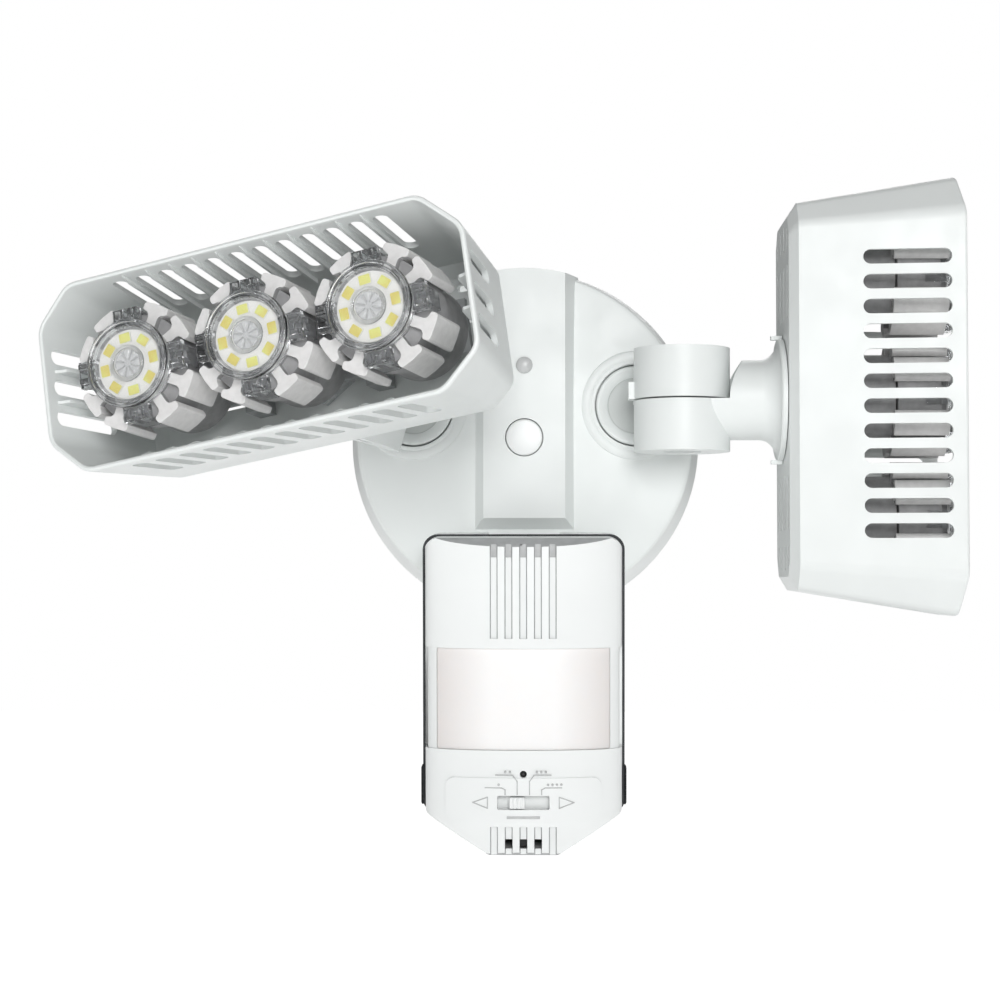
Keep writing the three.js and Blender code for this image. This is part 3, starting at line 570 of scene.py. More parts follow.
def axes(origin, x, y, z):
    m = Matrix((x, y, z)).transposed().to_4x4()
    m.translation = origin
    return m


def centre(node):
    low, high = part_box(node)
    return (Vector(low) + Vector(high)) / 2


def joint_at(name):
    return Vector(JOINTS[name]["pos_m"]), Vector(JOINTS[name]["axis"]).normalized()


def arm_frame(side):
    spot, _ = joint_at(f"swivel_{side}")
    _, up = joint_at(f"turn_{side}")
    into = Vector((0, 1, 0))
    return axes(spot, into.cross(up), into, up)


def neck_frame(side):
    spot, up = joint_at(f"turn_{side}")
    _, out = joint_at(f"roll_{side}")
    return axes(spot, (-out).cross(up), -out, up)


def lamp_frame(side):
    spot, out = joint_at(f"roll_{side}")
    along = (centre(f"heat_sink_{side}_3") - centre(f"heat_sink_{side}_1")).normalized()
    return axes(spot, along, -out, along.cross(-out))


def sensor_frame():
    spot, x = joint_at("sensor_tilt")
    tilt = math.radians(SENSOR_REST_TILT)
    y = Vector((0, math.cos(tilt), math.sin(tilt)))
    return axes(spot, x, y, x.cross(y))


# ---------------------------------------------------------------- canopy
def ridge(face_half, base_half, face_y, base_y, face_low, base_low, top):
    return hull([
        (-face_half, face_y, face_low), (face_half, face_y, face_low),
        (-face_half, face_y, top), (face_half, face_y, top),
        (-base_half, base_y, base_low), (base_half, base_y, base_low),
        (-base_half, base_y, top), (base_half, base_y, top),
    ])


def canopy():
    face = CANOPY_FACE_Y
    inner = CANOPY_INNER_Y
    body = lathe([
        (0, face - 1.4), (20, face - 1.3), (40, face - 0.9), (58.6, face), (60.1, face + 0.35),
        (60.8, face + 1.0), (CANOPY_FRONT_R + 0.1, face + 2.2),
        (CANOPY_R - 0.15, -0.9), (CANOPY_R - 0.1, -0.3),
        (CANOPY_R - 0.5, 0), (CANOPY_R - 2.6, 0), (CANOPY_FRONT_R - 2.4, inner), (0, inner - 0.4),
    ], 192)
    rim = lathe([
        (0, RIDGE_FACE_Y - 0.01), (CANOPY_FRONT_R + 0.2, RIDGE_FACE_Y - 0.01), (CANOPY_R - 0.8, -2), (0, -2),
    ], 192)
    crest = meet(ridge(RIDGE_FACE_HALF, RIDGE_BASE_HALF, RIDGE_FACE_Y, inner,
                       RIDGE_BOTTOM_Z + 3, RIDGE_BOTTOM_Z - 3, 80), rim)
    hollow = ridge(RIDGE_FACE_HALF - 2.6, RIDGE_BASE_HALF - 2.6, RIDGE_FACE_Y + 2.6,
                   inner + 0.5, RIDGE_BOTTOM_Z + 6, RIDGE_BOTTOM_Z + 3, 54)
    body = cut(add(body, crest), hollow)
    body = add(body, lathe([(51.4, -3.5), (62.6, -3.5), (62.6, -5.1), (51.4, -5.1)], 96))
    body = add(body, rod_y(9.2, RIDGE_FACE_Y + 1, -30.5), rod_y(6, -31, -12))
    body = cut(body, rod_y(2.6, RIDGE_FACE_Y - 1, -11, segments=32),
               rod_y(SCREW_CAP_R + 0.28, RIDGE_FACE_Y - 1, RIDGE_FACE_Y + 6),
               rod_y(2.2, RIDGE_FACE_Y - 1, RIDGE_FACE_Y + 4, 0, PLUG_Z, 24))
    for side in (-1, 1):
        x = side * SOCKET_X
        ring = lathe([
            (15.1, inner - 1), (SOCKET_RING_R + 0.5, inner - 1), (SOCKET_RING_R + 0.5, face - 0.7),
            (SOCKET_RING_R, face - 1.5), (SOCKET_RING_R - 0.8, face - 1.9), (17.2, face - 2.0),
            (16.4, face - 1.7), (15.9, face - 1.9), (15.1, face - 1.9),
        ], 96)
        body = add(body, moved(ring, x, 0, SOCKET_Z), rod_y(18, face + 1, face + 6.5, x, SOCKET_Z))
        body = cut(body, rod_y(ROTOR_R + 0.45, face - 4, face + 2.6, x, SOCKET_Z, 96),
                   rod_y(SPIGOT_R + GAP, face, face + 8, x, SOCKET_Z, 48))
    body = add(body, box(-11, 11, face - 2.4, inner, -57, RIDGE_BOTTOM_Z - 4))
    place(body, "canopy", "canopy", WORLD, [COAT], ["canopy_housing"], edge=0.7, segments=3)


def screw_cap():
    y = RIDGE_FACE_Y
    cap = lathe([
        (0, y - 0.5), (3, y - 0.48), (SCREW_CAP_R - 0.8, y - 0.36), (SCREW_CAP_R - 0.25, y - 0.15),
        (SCREW_CAP_R, y + 0.3), (SCREW_CAP_R, y + 2), (0, y + 2),
    ])
    place(cap, "canopy_screw_cap", "canopy", WORLD, [WHITE], ["screw_cap"], edge=0)


def ridge_plug():
    y = RIDGE_FACE_Y
    turns = [math.radians(9 * i) for i in range(11)]
    dome = [(DOME_R * math.sin(a), y - 0.3 - 1.2 * math.cos(a)) for a in turns]
    plug = lathe(dome + [(1.9, y - 0.3), (1.9, y + 3.4), (0, y + 3.4)], 48)
    place(moved(plug, 0, 0, PLUG_Z), "canopy_plug", "canopy", WORLD, [PLUG], ["ridge_plug"],
          edge=0)


# ---------------------------------------------------------------- arms and necks
def arm(side, sign):
    body = lathe([
        (0, DISH_Y), (DISH_R, DISH_Y), (10.2, 0.3), (10.9, -0.5), (12.8, -1.35), (13.7, -1.4), (14.2, -1.15),
        (ROTOR_R, -0.7), (ROTOR_R, 2.3), (SPIGOT_R, 2.3), (SPIGOT_R, SPIGOT_END_Y), (0, SPIGOT_END_Y),
    ])
    axis_x = sign * KNUCKLE_OUT
    inner = axis_x - sign * (KNUCKLE_R - 0.6)
    outer = axis_x - sign * 2
    block = box(min(inner, outer), max(inner, outer), -KNUCKLE_FORWARD, 1.2, GAP, 13)
    limit = add(rod_y(ROTOR_R - 0.05, -2.4, 14, segments=96), box(-40, 40, -60, -2.3, -40, 40))
    body = add(body, meet(block, limit),
               rod_z(KNUCKLE_R, GAP, KNUCKLE_HALF, axis_x, -KNUCKLE_FORWARD, 128))
    stop = axis_x - sign * (KNUCKLE_R + 0.3)
    body = add(body, box(stop - 1.6, stop + 1.6, -KNUCKLE_FORWARD - 2, -KNUCKLE_FORWARD + 5, GAP, 6.4))
    body = cut(body,
               rod_z(KNUCKLE_BOLT_R + GAP, GAP - 1, KNUCKLE_HALF - 3, axis_x, -KNUCKLE_FORWARD, 32),
               rod_y(SPIGOT_BORE_R, 2.2, 14, segments=32))
    # Faces on the bottom of the dish take the painted shade.
    for face in body.data.polygons:
        middle = face.center
        dish = 0.2 < middle.y < DISH_Y + 0.1 and math.hypot(middle.x, middle.z) < DISH_R + 0.7
        face.material_index = 1 if dish else 0
    place(body, f"arm_{side}_casting", f"arm_{side}", arm_frame(side), [COAT, PAINTED_DISH_SHADING],
          [f"arm_{side}"], edge=0.55)


def neck(side):
    body = rod_y(NECK_R, PANEL_Y + 2, 0, segments=96)
    body = cut(body, rod_z(NECK_CLEAR_R, -GAP, 30, segments=128))
    body = add(body, rod_z(KNUCKLE_R, -KNUCKLE_HALF, -GAP, segments=128))
    curve = [(NECK_R + 7.0 * (1 - math.sin(a)) * 0.98, PANEL_Y + 2.2 + 6.2 * (1 - math.cos(a)))
             for a in [math.radians(10 * i) for i in range(10)]]
    body = add(body, lathe([
        (0, PANEL_Y + GAP), (FLANGE_R, PANEL_Y + GAP), (FLANGE_R, PANEL_Y + 1.7), *curve[:-1],
        (NECK_R, PANEL_Y + 8.4), (0, PANEL_Y + 8.4),
    ]))
    for sign in (-1, 1):
        z = sorted((sign * (FLANGE_R - 0.2), sign * (FLANGE_R + 1.2)))
        body = add(body, box(-1.4, 1.4, PANEL_Y + 0.4, PANEL_Y + 4.2, *z))
    body = add(body, rod_y(SPIGOT_R, PANEL_Y - 9, PANEL_Y + 2, segments=48))
    body = cut(body, rod_y(SPIGOT_BORE_R, PANEL_Y - 10, -20, segments=32),
               rod_z(KNUCKLE_BOLT_R + GAP, -40, 1, segments=32),
               rod_z(6.8, -40, -KNUCKLE_HALF + 4.3, segments=48), rod_z(9.3, -1.6, 1, segments=48))
    place(body, f"neck_{side}_casting", f"neck_{side}", neck_frame(side), [COAT],
          [f"neck_{side}"], edge=0.5)


# ---------------------------------------------------------------- shroud
def shroud_ring(size, y, radius, inset=0.0, end_back=0.0):
    """An octagon with round corners; its end edges can stand back from its long edges."""
    length, width, cut_long, cut_short = size
    a = length / 2 - inset
    b = width / 2 - inset
    trim = inset * (2 - math.sqrt(2))
    u = cut_long - trim
    w = cut_short - trim
    corners = [(a - u, -b), (a, -b + w), (a, b - w), (a - u, b),
               (-a + u, b), (-a, b - w), (-a, -b + w), (-a + u, -b)]
    ring = []
    for x, z in rounded(corners, radius, 6):
        share = min(1.0, max(0.0, (abs(x) - (a - u)) / u))
        ring.append((x, y + end_back * share, z))
    return ring


def shroud_blank():
    rings = [
        shroud_ring(PANEL_SIZE, PANEL_Y, 3.5),
        shroud_ring(REAR_SIZE, WALL_START_Y, 5.5),
        shroud_ring(RIM_SIZE, RIM_Y + 0.9, 8.0, 0.0, 1.5),
        shroud_ring(RIM_SIZE, RIM_Y + 0.25, 8.0, 0.28, 1.5),
        shroud_ring(RIM_SIZE, RIM_Y, 8.0, 0.9, 1.5),
        shroud_ring(RIM_SIZE, RIM_Y + 0.25, 7.0, 1.52, 1.5),
        shroud_ring(RIM_SIZE, RIM_Y + 0.9, 7.0, 1.8, 1.5),
        shroud_ring(REAR_SIZE, WALL_START_Y - WALL * 0.8, 4.0, WALL),
        shroud_ring(PANEL_SIZE, PANEL_Y - WALL, 2.5, WALL * 0.8),
    ]
    return skin(rings)


def wall_half(size_index, y):
    """Half length (0) or half width (1) of the shroud's outside at a depth."""
    share = (y - WALL_START_Y) / (RIM_Y - WALL_START_Y)
    return (REAR_SIZE[size_index] + (RIM_SIZE[size_index] - REAR_SIZE[size_index]) * share) / 2


def long_slots():
    half = SLOT_WIDTH / 2
    outline = [stadium((i - (SLOT_COUNT - 1) / 2) * SLOT_PITCH, half, SLOT_END_Y, SLOT_START_Y)
               for i in range(SLOT_COUNT)]
    return merged([column(o, -45, 45) for o in outline])


def end_slots():
    half = SLOT_WIDTH / 2
    slots = []
    for i in (-1, 0, 1):
        outline = [(y, z) for z, y in stadium(i * END_SLOT_PITCH, half, SLOT_END_Y, SLOT_START_Y)]
        slots.append(bar(outline, -90, 90))
    return merged(slots)


def back_vents():
    vents = []
    for z in VENT_COLUMNS:
        for near, far in VENT_SPANS:
            reach = far - (1.5 if abs(z) > 10 and far > 55 else 0)
            for sign in (-1, 1):
                x0, x1 = sorted((sign * near, sign * reach))
                outline = rectangle(x0, x1, z - VENT_WIDTH / 2, z + VENT_WIDTH / 2, 1.2)
                vents.append(slab(outline, PANEL_Y - 6, PANEL_Y + 1))
    return merged(vents)


def long_rib(x, sign):
    """Thin rib inside a long wall, between two slots, fading out towards the rim."""
    start, fade, end = SLOT_START_Y + 6, SLOT_END_Y + 1, SLOT_END_Y - 3.6
    inside = [wall_half(1, y) - WALL for y in (start, fade, end)]
    points = []
    stations = ((start, inside[0], 1.5, 0.45), (fade, inside[1], 1.2, 0.45), (end, inside[2], 0.05, 0.15))
    for y, half, tall, thick in stations:
        points += [(x - thick, y, sign * (half + 0.5)), (x + thick, y, sign * (half + 0.5)),
                   (x - thick, y, sign * (half - tall)), (x + thick, y, sign * (half - tall))]
    return hull(points)


def end_rib(z, sign):
    """Taller rib inside an end wall, between its slots."""
    start, end = SLOT_START_Y + 8, SLOT_END_Y + 2
    outline = []
    for y, tall in ((start, 3.4), (end + 2.2, 3.4), (end + 0.6, 2.6), (end, 1.0)):
        outline.append((sign * (wall_half(0, y) - WALL - tall), y))
    for y in (end - 1, start):
        outline.append((sign * (wall_half(0, y) - WALL + 0.6), y))
    return column(outline, z - 0.5, z + 0.5)


def shroud(side):
    body = shroud_blank()
    for sign in (-1, 1):
        for i in range(SLOT_COUNT - 1):
            body = add(body, long_rib((i - (SLOT_COUNT - 2) / 2) * SLOT_PITCH, sign))
        for share in (-0.5, 0.5):
            body = add(body, end_rib(share * END_SLOT_PITCH, sign))
    body = cut(body, long_slots(), end_slots(), back_vents(),
               rod_y(SPIGOT_R + GAP, PANEL_Y - 6, PANEL_Y + 1, segments=64))
    place(body, f"shroud_{side}_shell", f"lamp_{side}", lamp_frame(side), [COAT],
          [f"shroud_{side}"], edge=0.35, segments=2)


# ---------------------------------------------------------------- lamp module
def fin_outline(hub, stem, head, inner, outer):
    """Hub with eight T-shaped fins in four diagonal pairs, as one outline in X and Z."""
    angles = sorted(d + s for d in (45, 135, 225, 315) for s in (-FIN_SPREAD, FIN_SPREAD))
    crown = [(-head, inner + 0.4), (-head, outer - 0.9), (-head + 0.25, outer - 0.3),
             (-head + 0.8, outer + 0.05), (0, outer + 0.3)]
    root = math.sqrt(hub * hub - stem * stem)
    half = [(-stem, root), (-stem, inner - 1.6), (-stem - 0.35, inner - 0.75), (-stem - 1.1, inner - 0.2),
            (-head + 0.6, inner + 0.05)] + crown
    fin = half + [(-x, y) for x, y in reversed(half[:-1])]
    points = []
    for i, angle in enumerate(angles):
        a = math.radians(angle)
        along = Vector((math.cos(a), math.sin(a)))
        across = Vector((-along.y, along.x))
        points += [tuple(along * up + across * side) for side, up in fin]
        following = angles[(i + 1) % len(angles)] + (360 if i == len(angles) - 1 else 0)
        edge = math.degrees(math.asin(stem / hub))
        gap = arc(0, 0, hub, angle + edge, following - edge, 4)
        points += gap[1:-1]
    return points


def heat_sink_mesh():
    outline = fin_outline(SINK_HUB_R, FIN_STEM_HALF, FIN_HEAD_HALF, FIN_INNER_R, FIN_OUTER_R)
    fins = slab(outline, FIN_REAR_Y, FIN_FRONT_Y)
    nose = rod_y(BOARD_R + 0.1, BOARD_FRONT_Y + 1.5, FIN_FRONT_Y + 2)
    base = lathe([
        (0, FIN_REAR_Y - 1), (SINK_BASE_R, FIN_REAR_Y - 1), (SINK_BASE_R, SINK_BACK_Y + 0.6),
        (SINK_BASE_R - 0.6, SINK_BACK_Y), (0, SINK_BACK_Y),
    ])
    core = rod_y(SINK_CORE_R, FIN_FRONT_Y + 2.6, FIN_REAR_Y - 1.5)
    body = add(fins, nose, base, core)
    # Faces in the pockets between the fins and on the base behind them take the painted shade.
    for face in body.data.polygons:
        middle = face.center
        between_fins = math.hypot(middle.x, middle.z) < SINK_CORE_R + 0.3
        pocket = FIN_FRONT_Y + 0.2 < middle.y < FIN_REAR_Y - 0.2 and between_fins
        face.material_index = 1 if pocket or middle.y > FIN_REAR_Y + 0.2 else 0
    return body


def led_layer(half, radius, front, rear):
    """One layer of an LED, in front of the board."""
    across, along = half
    outline = rectangle(-across, across, LED_RING_R - along, LED_RING_R + along, radius, 2)
    return slab(outline, BOARD_FRONT_Y - front, BOARD_FRONT_Y - rear)


def board_mesh():
    """Round board with its ring of LEDs, each a pale frame round a yellow gel."""
    parts = [rod_y(BOARD_R, BOARD_FRONT_Y, BOARD_FRONT_Y + 1.1, segments=64)]
    for i in range(LED_COUNT):
        turn = Matrix.Rotation(math.radians(LED_PHASE + i * 360 / LED_COUNT), 4, "Y")
        pale_frame = led_layer(LED_FRAME_HALF, 0.25, 0.45, 0.02)
        gel = led_layer(LED_GEL_HALF, 0.3, 0.62, 0.46)
        for obj, index in ((pale_frame, 1), (gel, 2)):
            for face in obj.data.polygons:
                face.material_index = index
            parts.append(moved(obj, matrix=turn))
    return merged(parts)


def petal_lens():
    """Small rosette in the middle of the cover: petals round a dimple."""
    steps = 96
    front = COVER_FRONT_Y + 0.6
    rings = [[(0, front + 0.5, 0)]]
    for r, lift in ((1.2, 0.45), (2.2, 0.15), (3.2, 0.0), (4.0, 0.1), (4.5, 0.45), (4.6, 0.9)):
        ring = []
        for i in range(steps):
            a = math.tau * i / steps
            wave = 0.5 + 0.5 * math.cos(PETAL_COUNT * a)
            petal = PETAL_START_R < r < PETAL_END_R
            scale = 1 + 0.10 * wave if petal else 1
            dip = 0.55 * (1 - wave) ** 2 if petal else 0
            ring.append((r * scale * math.cos(a), front + lift + dip, r * scale * math.sin(a)))
        rings.append(ring)
    rings.append([(0, front + 0.9, 0)])
    return skin(rings)


def cover_clip():
    """Snap clip at the rim of a cover, with two ears and a notch."""
    ears = [box(*sorted((sign * 1.6, sign * 3.2)), -96.2, -94.3, 14.8, 18.0) for sign in (-1, 1)]
    clip = add(box(-4.4, 4.4, -94.5, -91.4, 13.6, 18.6), *ears, box(-3, 3, -91.6, -83, 16.4, 18.6))
    return cut(clip, box(-1.2, 1.2, -93.6, -88, 15.2, 20))


def cover_mesh():
    """Clear cover: rim and inner ring, four clips, a thin pane and the rosette."""
    front = COVER_FRONT_Y
    ring = lathe([
        (12.0, front + 0.3), (12.25, front), (12.8, front), (13.0, front + 0.5),
        (13.3, front + 0.5), (13.5, front), (14.0, front), (14.3, front + 0.2), (COVER_RING_R, front + 0.8),
        (COVER_RING_R, front + 2), (13.4, front + 2.4), (13.4, -91.4), (11.8, -91.4), (11.8, front + 1.3),
    ])
    inner_ring = lathe([
        (4.9, front + 0.4), (5.6, front + 0.2), (6.0, front + 0.5), (6.0, front + 1.2), (4.9, front + 1.2),
    ])
    clips = [moved(cover_clip(), matrix=Matrix.Rotation(math.radians(i * 90), 4, "Y")) for i in range(4)]
    clear = merged([ring, inner_ring, *clips])
    pane = lathe([(0, front + 0.9), (12.2, front + 0.7), (12.2, front + 1.0), (0, front + 1.2)], 64)
    petals = petal_lens()
    for face in pane.data.polygons:
        face.material_index = 1
    # The rosette's valleys and its outer ring take the painted shade.
    for face in petals.data.polygons:
        middle = face.center
        r = math.hypot(middle.x, middle.z)
        between = math.cos(PETAL_COUNT * math.atan2(middle.z, middle.x)) < -0.72
        valley = between and PETAL_START_R < r < PETAL_END_R
        face.material_index = 3 if valley or r > 4.48 else 2
    return merged([clear, pane, petals])


def lamp_modules(side):
    base = lamp_frame(side)
    body = f"lamp_{side}"
    for index in (1, 2, 3):
        where = base @ Matrix.Translation(((index - 2) * MODULE_PITCH * MM, 0, 0))
        place(heat_sink_mesh(), f"sink_{side}_{index}", body, where, [CERAMIC, PAINTED_RECESS_SHADING],
              [f"heat_sink_{side}_{index}"], edge=0.45, segments=3)
        place(board_mesh(), f"board_{side}_{index}", body, where, [MASK, LED_FRAME, PHOSPHOR],
              [f"led_board_{side}_{index}"], edge=0)
        place(cover_mesh(), f"cover_{side}_{index}", body, where, [CLEAR, PANE, PETALS, PAINTED_SHADING],
              [f"lens_cover_{side}_{index}"], edge=0.25, segments=2)
    dress(f"module_carrier_{side}", CAST, 0.5)
    dress(f"lamp_nut_{side}", STEEL)


# ---------------------------------------------------------------- sensor
def head_outline(half, top, inset=0.0):
    h = half - inset
    foot = SENSOR_FOOT_HALF - inset * 0.5
    taper = SENSOR_TAPER + inset * 0.4
    corners = [(-foot, SENSOR_BOTTOM + inset), (foot, SENSOR_BOTTOM + inset), (h, taper + 0.9),
               (h, top - inset), (-h, top - inset), (-h, taper + 0.9)]
    return rounded(corners, [1.5, 1.5, 4.0, 5.2, 5.2, 4.0], 8)


def face_y(x, inset=0.0):
    """Depth of the front cover's bowed face at x."""
    across = SENSOR_HALF - 0.4 - inset
    deep = BOW_START_Y - SENSOR_FRONT - inset
    return BOW_START_Y - deep * math.sqrt(max(0.0, 1 - abs(x / across) ** BOW_SHARPNESS))


def cover_section(inset, rear):
    """Plan section of the front cover: bowed face running into straight sides."""
    half = SENSOR_HALF - inset
    across = half - 0.4
    face = []
    for i in range(57):
        turn = math.cos(math.pi * i / 56)
        x = -math.copysign(abs(turn) ** (2 / BOW_SHARPNESS), turn) * across
        face.append((x, face_y(x, inset)))
    return [(-half, rear)] + face + [(half, rear)]


def bowed(outline, inset, rear=SENSOR_SPLIT):
    return meet(column(cover_section(inset, rear), -110, 30), slab(outline, 10, -40))


def wide(low, high):
    return rectangle(-60, 60, low, high)


def slopes(inset):
    """What the sloped top and foot of the bowed face take away, at a depth below the skin."""
    top = [(-13.4, SENSOR_TOP + 0.6), (-24, SENSOR_TOP - 4.9), (-30, SENSOR_TOP - 4.9),
           (-30, SENSOR_TOP + 5), (-13.4, SENSOR_TOP + 5)]
    foot = [(-20.6, -92.4), (-17.2, -94.8), (-30, -94.8), (-30, -92.4)]
    return (moved(bar(top, -50, 50), 0, inset * 0.4, -inset * 0.9),
            moved(bar(foot, -50, 50), 0, inset * 0.6, inset * 0.8))


def groove(x, low, high):
    """Drafted groove in the bowed face, centred on x, between two heights."""
    half = GROOVE_WIDTH / 2
    floor = half - GROOVE_DRAFT
    deep = face_y(x) + GROOVE_DEPTH
    return column([(x - half, -30), (x + half, -30), (x + half, face_y(x + half)), (x + floor, deep),
                   (x - floor, deep), (x - half, face_y(x - half))], low, high)


def cover_body():
    """The front cover's hollow bowed shell with its raised switch pad, before its openings are cut."""
    body = bowed(head_outline(SENSOR_HALF, SENSOR_TOP), 0)
    body = cut(body, *slopes(0))
    pad = rectangle(-PAD_HALF, PAD_HALF, PAD_LOW, PAD_HIGH, 3.2, 8)
    body = add(body, bowed(pad, -PAD_HEIGHT, -8))
    hollow = bowed(head_outline(SENSOR_HALF, SENSOR_TOP, COVER_WALL), COVER_WALL, 5)
    return cut(body, cut(hollow, *slopes(COVER_WALL)))


def sensor_cover():
    body = cover_body()
    # Band of the window, a little behind the covers above and below it.
    band = cut(bowed(wide(WINDOW_BOTTOM, WINDOW_TOP), -3, -3), bowed(wide(-80, 0), 0.8, 5))
    body = cut(body, band)
    body = cut(body, slab(rectangle(-WINDOW_HALF, WINDOW_HALF, WINDOW_BOTTOM, WINDOW_TOP, 0.6), -8, -30))
    # Grooves above and below, with deeper upper ends and small openings at the foot.
    across = [i * GROOVE_PITCH for i in range(-2, 3)]
    grooves = [groove(x, low, high) for x in across for low, high in (UPPER_GROOVES, LOWER_GROOVES)]
    body = cut(body, merged(grooves))
    ends = [slab(rectangle(x - 1.0, x + 1.0, 7.6, 12.1), -30, -12) for x in across]
    body = cut(body, cut(merged(ends), bowed(wide(-120, 40), GROOVE_END_DEPTH, 5)))
    openings = [box(x - 1.25, x + 1.25, -30, -10, -91.6, -88.4) for x in (-GROOVE_PITCH, 0, GROOVE_PITCH)]
    body = cut(body, merged(openings))
    low, high = SWITCH_Z - SWITCH_SLOT_HALF, SWITCH_Z + SWITCH_SLOT_HALF
    body = cut(body, slab(rectangle(-SWITCH_HALF, SWITCH_HALF, low, high, 0.5), -10, -30))
    body = cut(body, rod_y(1.2, -30, -10, 0, INDICATOR_Z, 32))
    # Painted shade on the walls of the grooves and pad, and on the floors of the deep ends.
    for face in body.data.polygons:
        middle = face.center
        below = middle.y - face_y(middle.x)
        wall = max(abs(face.normal.x), abs(face.normal.z)) > 0.7
        index = 0
        if abs(middle.x) < 12 and (middle.z > -21 or middle.z < -84) and 0.05 < below < 1.8:
            index = 1 if wall else 2 if below > 1.2 else 0
        if wall and -PAD_HEIGHT < below < -0.1:
            index = 1
        face.material_index = index
    place(body, "sensor_cover", "sensor_head", sensor_frame(), [WHITE, PAINTED_SHADING, MARKS_AND_PAINTED_SHADING],
          ["sensor_front_cover"], edge=0.2, segments=2)


def strip(points, width, height=0.22, closed=False):
    """A thin raised line along points on the cover's face."""
    pieces = []
    pairs = list(zip(points, points[1:])) + ([(points[-1], points[0])] if closed else [])
    for (x0, z0), (x1, z1) in pairs:
        d = Vector((x1 - x0, z1 - z0)).normalized() * width / 2
        n = Vector((-d.y, d.x))
        corners = [(x0 - d.x + n.x, z0 - d.y + n.y), (x1 + d.x + n.x, z1 + d.y + n.y),
                   (x1 + d.x - n.x, z1 + d.y - n.y), (x0 - d.x - n.x, z0 - d.y - n.y)]
        low = [(x, face_y(x, -PAD_HEIGHT) + 0.1, z) for x, z in corners]
        high = [(x, face_y(x, -PAD_HEIGHT) - height, z) for x, z in corners]
        pieces.append(hull(low + high))
    return pieces


def sensor_marks():
    """Generic marks round the switch: leader lines, dots that number the positions, arrows and a bar."""
    parts = []
    top = SWITCH_Z + 2.9
    for sign in (-1, 1):
        for leader in LEADER_LINES:
            parts += strip([(sign * x, top + z) for x, z in leader], 0.32)
        arrow = [(sign * 17.2, SWITCH_Z), (sign * 12.2, SWITCH_Z + 1.9), (sign * 12.2, SWITCH_Z - 1.9)]
        parts += strip(arrow, 0.34, closed=True)
    places = ((-1, 0, 1), (-1, 1, 2), (1, 1, 3), (1, 0, 4))
    for sign, row, count in places:
        z = top + (7.7 if row else 3.3)
        start = sign * (4.6 if row else 8.4)
        for k in range(count):
            x = start + sign * k * 1.5
            skin_y = face_y(x, -PAD_HEIGHT)
            parts.append(rod_y(0.42, skin_y - 0.22, skin_y + 0.1, x, z, 16))
    parts += strip([(-5.2, SWITCH_Z - 5.0), (5.2, SWITCH_Z - 5.0)], 0.9)
    place(merged(parts), "sensor_marks", "sensor_head", sensor_frame(), [MARKS_AND_PAINTED_SHADING], edge=0)


def sensor_lens():
    half = WINDOW_HALF - 0.06
    outer = bowed(rectangle(-half, half, WINDOW_BOTTOM + 0.06, WINDOW_TOP - 0.06, 0.5), 1.2, -8.6)
    inner = bowed(wide(WINDOW_BOTTOM - 5, WINDOW_TOP + 5), 2.4, 0)
    place(cut(outer, inner), "sensor_window", "sensor_head", sensor_frame(), [WINDOW],
          ["sensor_lens"], edge=0.2)


def sensor_gasket():
    half = SENSOR_HALF + GASKET_PROUD
    body = cut(slab(head_outline(half, SENSOR_TOP + 0.6), SENSOR_SPLIT + 1.9, SENSOR_SPLIT + GAP),
               slab(head_outline(half, SENSOR_TOP + 0.6, 3.0), 5, -5))
    for sign in (-1, 1):
        x0, x1 = sorted((sign * (SENSOR_HALF + 0.4), sign * (SENSOR_HALF + 1.5)))
        lug = slab(rectangle(x0, x1, -79, -65.5, 0.8), SENSOR_SPLIT + 1.9, SENSOR_SPLIT - 1.4)
        body = add(body, lug)
    place(body, "sensor_seal", "sensor_head", sensor_frame(), [RUBBER], ["sensor_gasket"], edge=0.3)


def rear_shell(inset):
    """Solid of the rear housing, or of its hollow when inset; its plan bends in towards the back."""
    front = SENSOR_SPLIT + 2.2
    half = SENSOR_HALF + REAR_PROUD - inset
    back = half - 8
    rear = SENSOR_REAR - inset
    start = front - (1 if inset else 0)
    a, b, c = (half - 1, 7.0), (half - 2, rear), (back - 6, rear)
    bend = []
    for i in range(17):
        t = i / 16
        bend.append(((1 - t) ** 2 * a[0] + 2 * t * (1 - t) * b[0] + t * t * c[0],
                     (1 - t) ** 2 * a[1] + 2 * t * (1 - t) * b[1] + t * t * c[1]))
    section = [(half, start)] + bend + [(-x, y) for x, y in reversed(bend)] + [(-half, start)]
    outline = head_outline(SENSOR_HALF + REAR_PROUD, SENSOR_TOP + 0.4, inset)
    return meet(column(section, -110, 30), slab(outline, 30, -10))


def sensor_rear():
    skirt = bar([(-5, -100), (-5, 20), (20, 20), (20, -78)], -40, 40)
    hollow = bar([(-5, -98), (-5, -19.4), (20, -19.4), (20, -75.6)], -40, 40)
    body = cut(meet(rear_shell(0), skirt), meet(rear_shell(REAR_WALL), hollow))
    # Pocket that the yoke swings in.
    body = cut(body, box(-12.6, 12.6, -20, 30, -17.4, 20))
    relief = cut(box(-30, 30, -20, SENSOR_SPLIT + 9, -17, SENSOR_TOP - 2), box(-15.4, 15.4, -20, 20, -20, 20))
    body = cut(body, relief, rod_x(2.5, -15.6, 15.6))
    screws = [rod_y(2.6, 30, SENSOR_REAR - 3.2, x, -66, 32) for x in (-17, 17)]
    body = cut(body, merged(screws))
    place(body, "sensor_back", "sensor_head", sensor_frame(), [WHITE],
          ["sensor_rear_housing"], edge=0.6)


